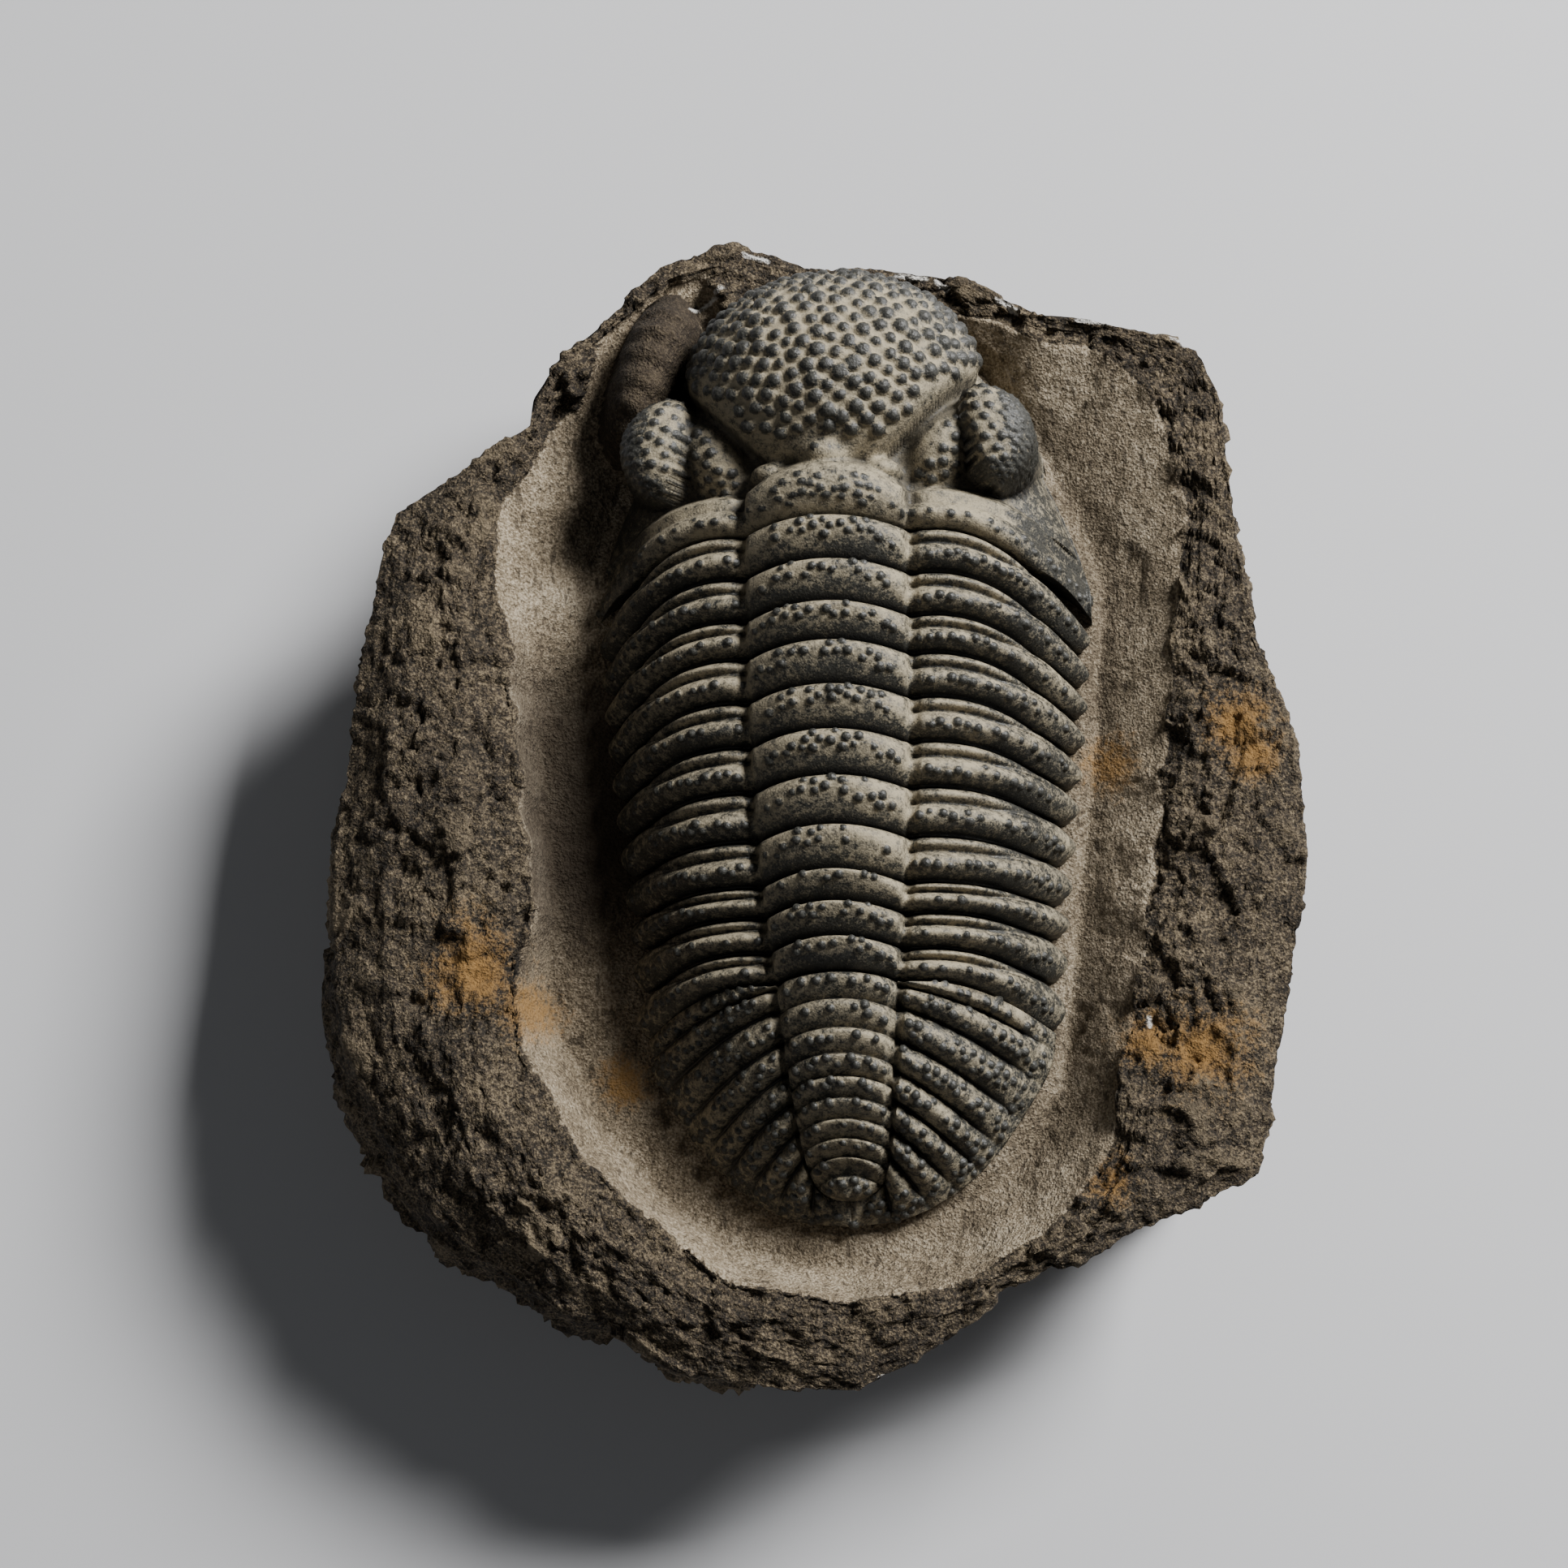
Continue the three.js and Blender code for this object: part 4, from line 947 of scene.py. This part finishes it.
def joined(a, b, softness):
    """The two shapes together, with a fillet where they meet."""
    h = np.clip(0.5 + 0.5 * (b - a) / softness, 0, 1)
    return mix(b, a, h) - softness * h * (1 - h)


def head_band(x, y):
    """Where places lie in the head's rear band: shares of its width and its length, and its rear edge's y."""
    w = np.clip(x / flank_reach(HEAD_Y), -1, 1)
    front = edge_at(OCCIPITAL, w) + OCCIPITAL_BOW * np.maximum(0, 1 - (w / BOWED_SHARE) ** 2)
    rear = edge_at(HEAD_REAR, w)
    return w, (front - y) / (front - rear), rear


GLABELLA_MIDDLE = (0.9, 57.3, 14.8)
GLABELLA_RADII = (20.1, 15.3, 13.7)
# Behind its widest place the glabella is cut off obliquely on both sides, where the axial furrows run.
FURROW_NORMAL = (0.687, 0.727)
FURROW_OFFSET = 27.3
# The fixed cheek is a low ridge between the axial furrow and the eye. Both stand turned about the upright.
CHEEK_MIDDLE = (15.7, 47.2)
CHEEK_RADII = (5.2, 8.2, 9.4)
CHEEK_TURN_DEG = -36
EYE_MIDDLE = (23.1, 48.2)
EYE_RADII = (4.4, 7.1)
EYE_TURN_DEG = 14
EYE_TOP = 22.6


def turned(ax, y, middle, turn_deg):
    """Plan distances from a middle, across and along a lump that stands turned."""
    turn = math.radians(turn_deg)
    dx, dy = ax - middle[0], y - middle[1]
    return dx * math.cos(turn) + dy * math.sin(turn), dy * math.cos(turn) - dx * math.sin(turn)


def fixed_cheek(ax, y, z):
    across, along = turned(ax, y, CHEEK_MIDDLE, CHEEK_TURN_DEG)
    return lump(np.stack([across, along, z - 11.6], axis=-1), (0, 0, 0), CHEEK_RADII)


def eye_turret(ax, y, z):
    """A kidney-shaped tower with a domed top: about how far points lie outside it."""
    across, along = turned(ax, y, EYE_MIDDLE, EYE_TURN_DEG)
    bent = across + 0.03 * along**2 - 0.6
    out = np.sqrt((bent / EYE_RADII[0]) ** 2 + (along / EYE_RADII[1]) ** 2)
    wall = (out - 1) * EYE_RADII[0] + 0.03 * (z - 19)
    top = z - (EYE_TOP - 0.05 * bent**2 - 0.03 * along**2 - 0.15 * bent)
    return -joined(-wall, -top, 2.6)


def glabella_ball(p):
    """The swollen glabella with its oblique rear sides: about how far points lie outside it."""
    furrow = FURROW_OFFSET + FURROW_NORMAL[0] * np.abs(p[..., 0]) - FURROW_NORMAL[1] * p[..., 1]
    return -joined(-lump(p, GLABELLA_MIDDLE, GLABELLA_RADII), -furrow, 1.6), furrow


def head_distance(p):
    """Below zero inside the head shield."""
    x, y, z = p[..., 0], p[..., 1], p[..., 2]
    ax = np.abs(x)
    mirrored = np.stack([ax, y, z], axis=-1)
    share = np.clip(ax / np.maximum(head_margin(y), 0.5), 0, 1)
    cheek = TIP_HEIGHT + (cheek_height(y) - TIP_HEIGHT) * (1 - share**2.6) ** 0.62
    w, v, rear = head_band(x, y)
    arch, on_ring = arch_at(w, HEAD_Y)
    band = arch + mix(2.5 * hill(v, 0.66, 0.36) - 1.2, ring_relief(v * 0.92 + 0.08) + 0.3, on_ring)
    band = np.where(v < -0.35, -50, band - 12 * np.maximum(0, -v - 0.02))
    base = np.where(v > 0.0, band, np.maximum(band, cheek))
    body = z - base
    glabella, _ = glabella_ball(p)
    median = lump(p, (0, 45.2, 21.0), (3.6, 2.6, 4.3))
    lateral = lump(mirrored, (7.6, 43.2, 19.4), (2.7, 1.7, 3.2))
    shape = joined(body, glabella, 0.9)
    shape = joined(shape, median, 1.4)
    shape = joined(shape, lateral, 1.2)
    shape = joined(shape, fixed_cheek(ax, y, z), 1.4)
    turret = eye_turret(ax, y, z)
    shape = joined(shape, turret, 0.8)
    plan = np.maximum(ax - head_margin(y) - 0.3, rear - y)
    overhanging = np.minimum(glabella, turret)
    return np.maximum(shape, np.where(overhanging < shape + 0.5, rear - y, plan))


def head_plan():
    """Places inside the head's outline on its seat. Each column runs from the front edge to the rear one."""
    margin = np.linspace(1, 0, 400)
    spread = math.pi / 2 * 0.92
    w = np.sin(np.linspace(-1, 1, HEAD_COLUMNS) * spread) / math.sin(spread)
    x = w * HEAD_HALF_WIDTH
    front = np.interp(np.abs(x), head_margin_x(margin), head_margin_y(margin))
    rows = np.linspace(0, 1, HEAD_ROWS)[:, None]
    return np.stack([x + 0 * rows, mix(front, edge_at(HEAD_REAR, w), rows)], axis=-1)


def head_grid():
    plan = head_plan()
    spread = (plan - RAY_BASE[:2]) / -RAY_BASE[2]

    def on_ray(z):
        flat = RAY_BASE[:2] + spread * (z - RAY_BASE[2])[..., None]
        return np.concatenate([flat, z[..., None]], axis=-1)

    outside = np.full(plan.shape[:2], float(HEAD_TOP))
    inside = np.zeros_like(outside)
    found = np.zeros(outside.shape, dtype=bool)
    for level in np.linspace(HEAD_TOP, 0, 90)[1:]:
        z = np.full_like(outside, level)
        hit = (head_distance(on_ray(z)) < 0) & ~found
        inside = np.where(hit, z, inside)
        outside = np.where(found | hit, outside, z)
        found |= hit
    for _ in range(12):
        z = (inside + outside) / 2
        hit = head_distance(on_ray(z)) < 0
        inside = np.where(hit, z, inside)
        outside = np.where(hit, outside, z)
    return on_ray(np.where(found, (inside + outside) / 2, 0.3))


def head_solid():
    points = head_grid()
    x, y, z = points[..., 0], points[..., 1], points[..., 2]
    ax = np.abs(x)
    glabella, furrow = glabella_ball(points)
    on_ball = (glabella < 0.9) & (z > 9) & (furrow < -1.2) & (y > mix(48.0, 47.0, np.clip(ax / 8, 0, 1)))
    on_median = (np.abs(ax - 1.4) < 0.7) & (np.abs(y - 45.8) < 0.8)
    on_eye = (eye_turret(ax, y, z) < 0.3) & (z > 10)
    across_eye, along_eye = turned(ax, y, EYE_MIDDLE, EYE_TURN_DEG)
    lens_side = on_eye & ((z < 17.5) | (across_eye > 1.6) | (along_eye < -4.2))
    across_cheek, _ = turned(ax, y, CHEEK_MIDDLE, CHEEK_TURN_DEG)
    on_cheek = (fixed_cheek(ax, y, z) < 0.5) & (z > 16) & (across_cheek > -0.8) & ~on_eye
    _, v, _ = head_band(x, y)
    border_rows = hill(v, 0.62, 0.14) + hill(v, 0.34, 0.14) * (ax < 8)
    height = z - blurred(z, 9)
    # The tan film thins low on the glabella's sides as painted shade.
    film_and_painted_shade = np.where(on_ball, mix(0.3, 0.88, step(12, 27, z)), 0.62) * (1 - 0.85 * step(22, 28, ax))
    values = {
        "big": on_ball.astype(float),
        "eye": ((on_eye & ~lens_side) | on_cheek | on_median).astype(float),
        "small": border_rows.clip(0, 1),
        "lenses": lens_side.astype(float),
        "knob": np.zeros_like(x),
        # Painted shade in the hollows, where a point lies below its neighbours.
        "painted_furrow_shade": step(-0.35, -1.3, height) * 0.8,
        "film_and_painted_shade": film_and_painted_shade * np.where(lens_side, 0.3, 1),
    }
    return standing(points, values)


head_points, head_faces, head_values = head_solid()
head = new_piece("head_shield", in_block(head_points), head_faces, head_values)
HEAD_KNOBS = [  # where, spacing, radius, height
    ("big", 2.1, 1.1, 0.85),
    ("eye", 1.75, 0.72, 0.5),
    ("small", 1.25, 0.56, 0.36),
    ("lenses", 0.95, 0.5, 0.34),
]
for seed, knobs in enumerate(HEAD_KNOBS):
    grow_tubercles(head, *knobs, seed)
finish_plate(head, "cephalon")


# The studio.
# A pale floor with the block lying on it, a soft key light high on the right behind the head, and a weak
# fill. The camera looks down on the block from just beyond the tail, as the photograph does.

TARGET = np.array((-3.8, 1.5, 38)) * MM
CAMERA = np.array((-3.8, -121.17, 615.11)) * MM
LENS_MM = 100
FLOOR_SIZE = 6.0
LIT_PLACE = Vector((0, 0, 0.03))


def floor():
    half = FLOOR_SIZE / 2
    corners = [(-half, -half, 0), (half, -half, 0), (half, half, 0), (-half, half, 0)]
    mesh = bpy.data.meshes.new("floor")
    mesh.from_pydata(corners, [], [(0, 1, 2, 3)])
    made = bpy.data.objects.new("floor", mesh)
    bpy.context.scene.collection.objects.link(made)
    material, _, surface = new_material("pale floor")
    surface.inputs["Base Color"].default_value = (0.56, 0.56, 0.57, 1)
    surface.inputs["Roughness"].default_value = 0.85
    mesh.materials.append(material)


def softbox(name, place, size, power):
    """A square light at a place in m, turned to the block."""
    light = bpy.data.lights.new(name, "AREA")
    light.shape = "SQUARE"
    light.size = size
    light.energy = power
    made = bpy.data.objects.new(name, light)
    made.location = place
    made.rotation_mode = "QUATERNION"
    made.rotation_quaternion = Vector((0, 0, -1)).rotation_difference(LIT_PLACE - Vector(place))
    bpy.context.scene.collection.objects.link(made)


floor()
softbox("key", (0.72, 0.62, 0.80), 0.45, 39)
softbox("fill", (-0.5, -0.7, 0.9), 1.2, 1.2)
world = bpy.data.worlds.new("studio")
world.use_nodes = True
world.node_tree.nodes["Background"].inputs["Color"].default_value = (0.8, 0.86, 0.95, 1)
world.node_tree.nodes["Background"].inputs["Strength"].default_value = 0.05
bpy.context.scene.world = world

camera_data = bpy.data.cameras.new("camera")
camera_data.lens = LENS_MM
camera = bpy.data.objects.new("camera", camera_data)
camera.location = CAMERA
tilt = math.atan2(TARGET[1] - CAMERA[1], CAMERA[2] - TARGET[2])
camera.rotation_euler = (tilt, 0, 0)
bpy.context.scene.collection.objects.link(camera)
bpy.context.scene.camera = camera
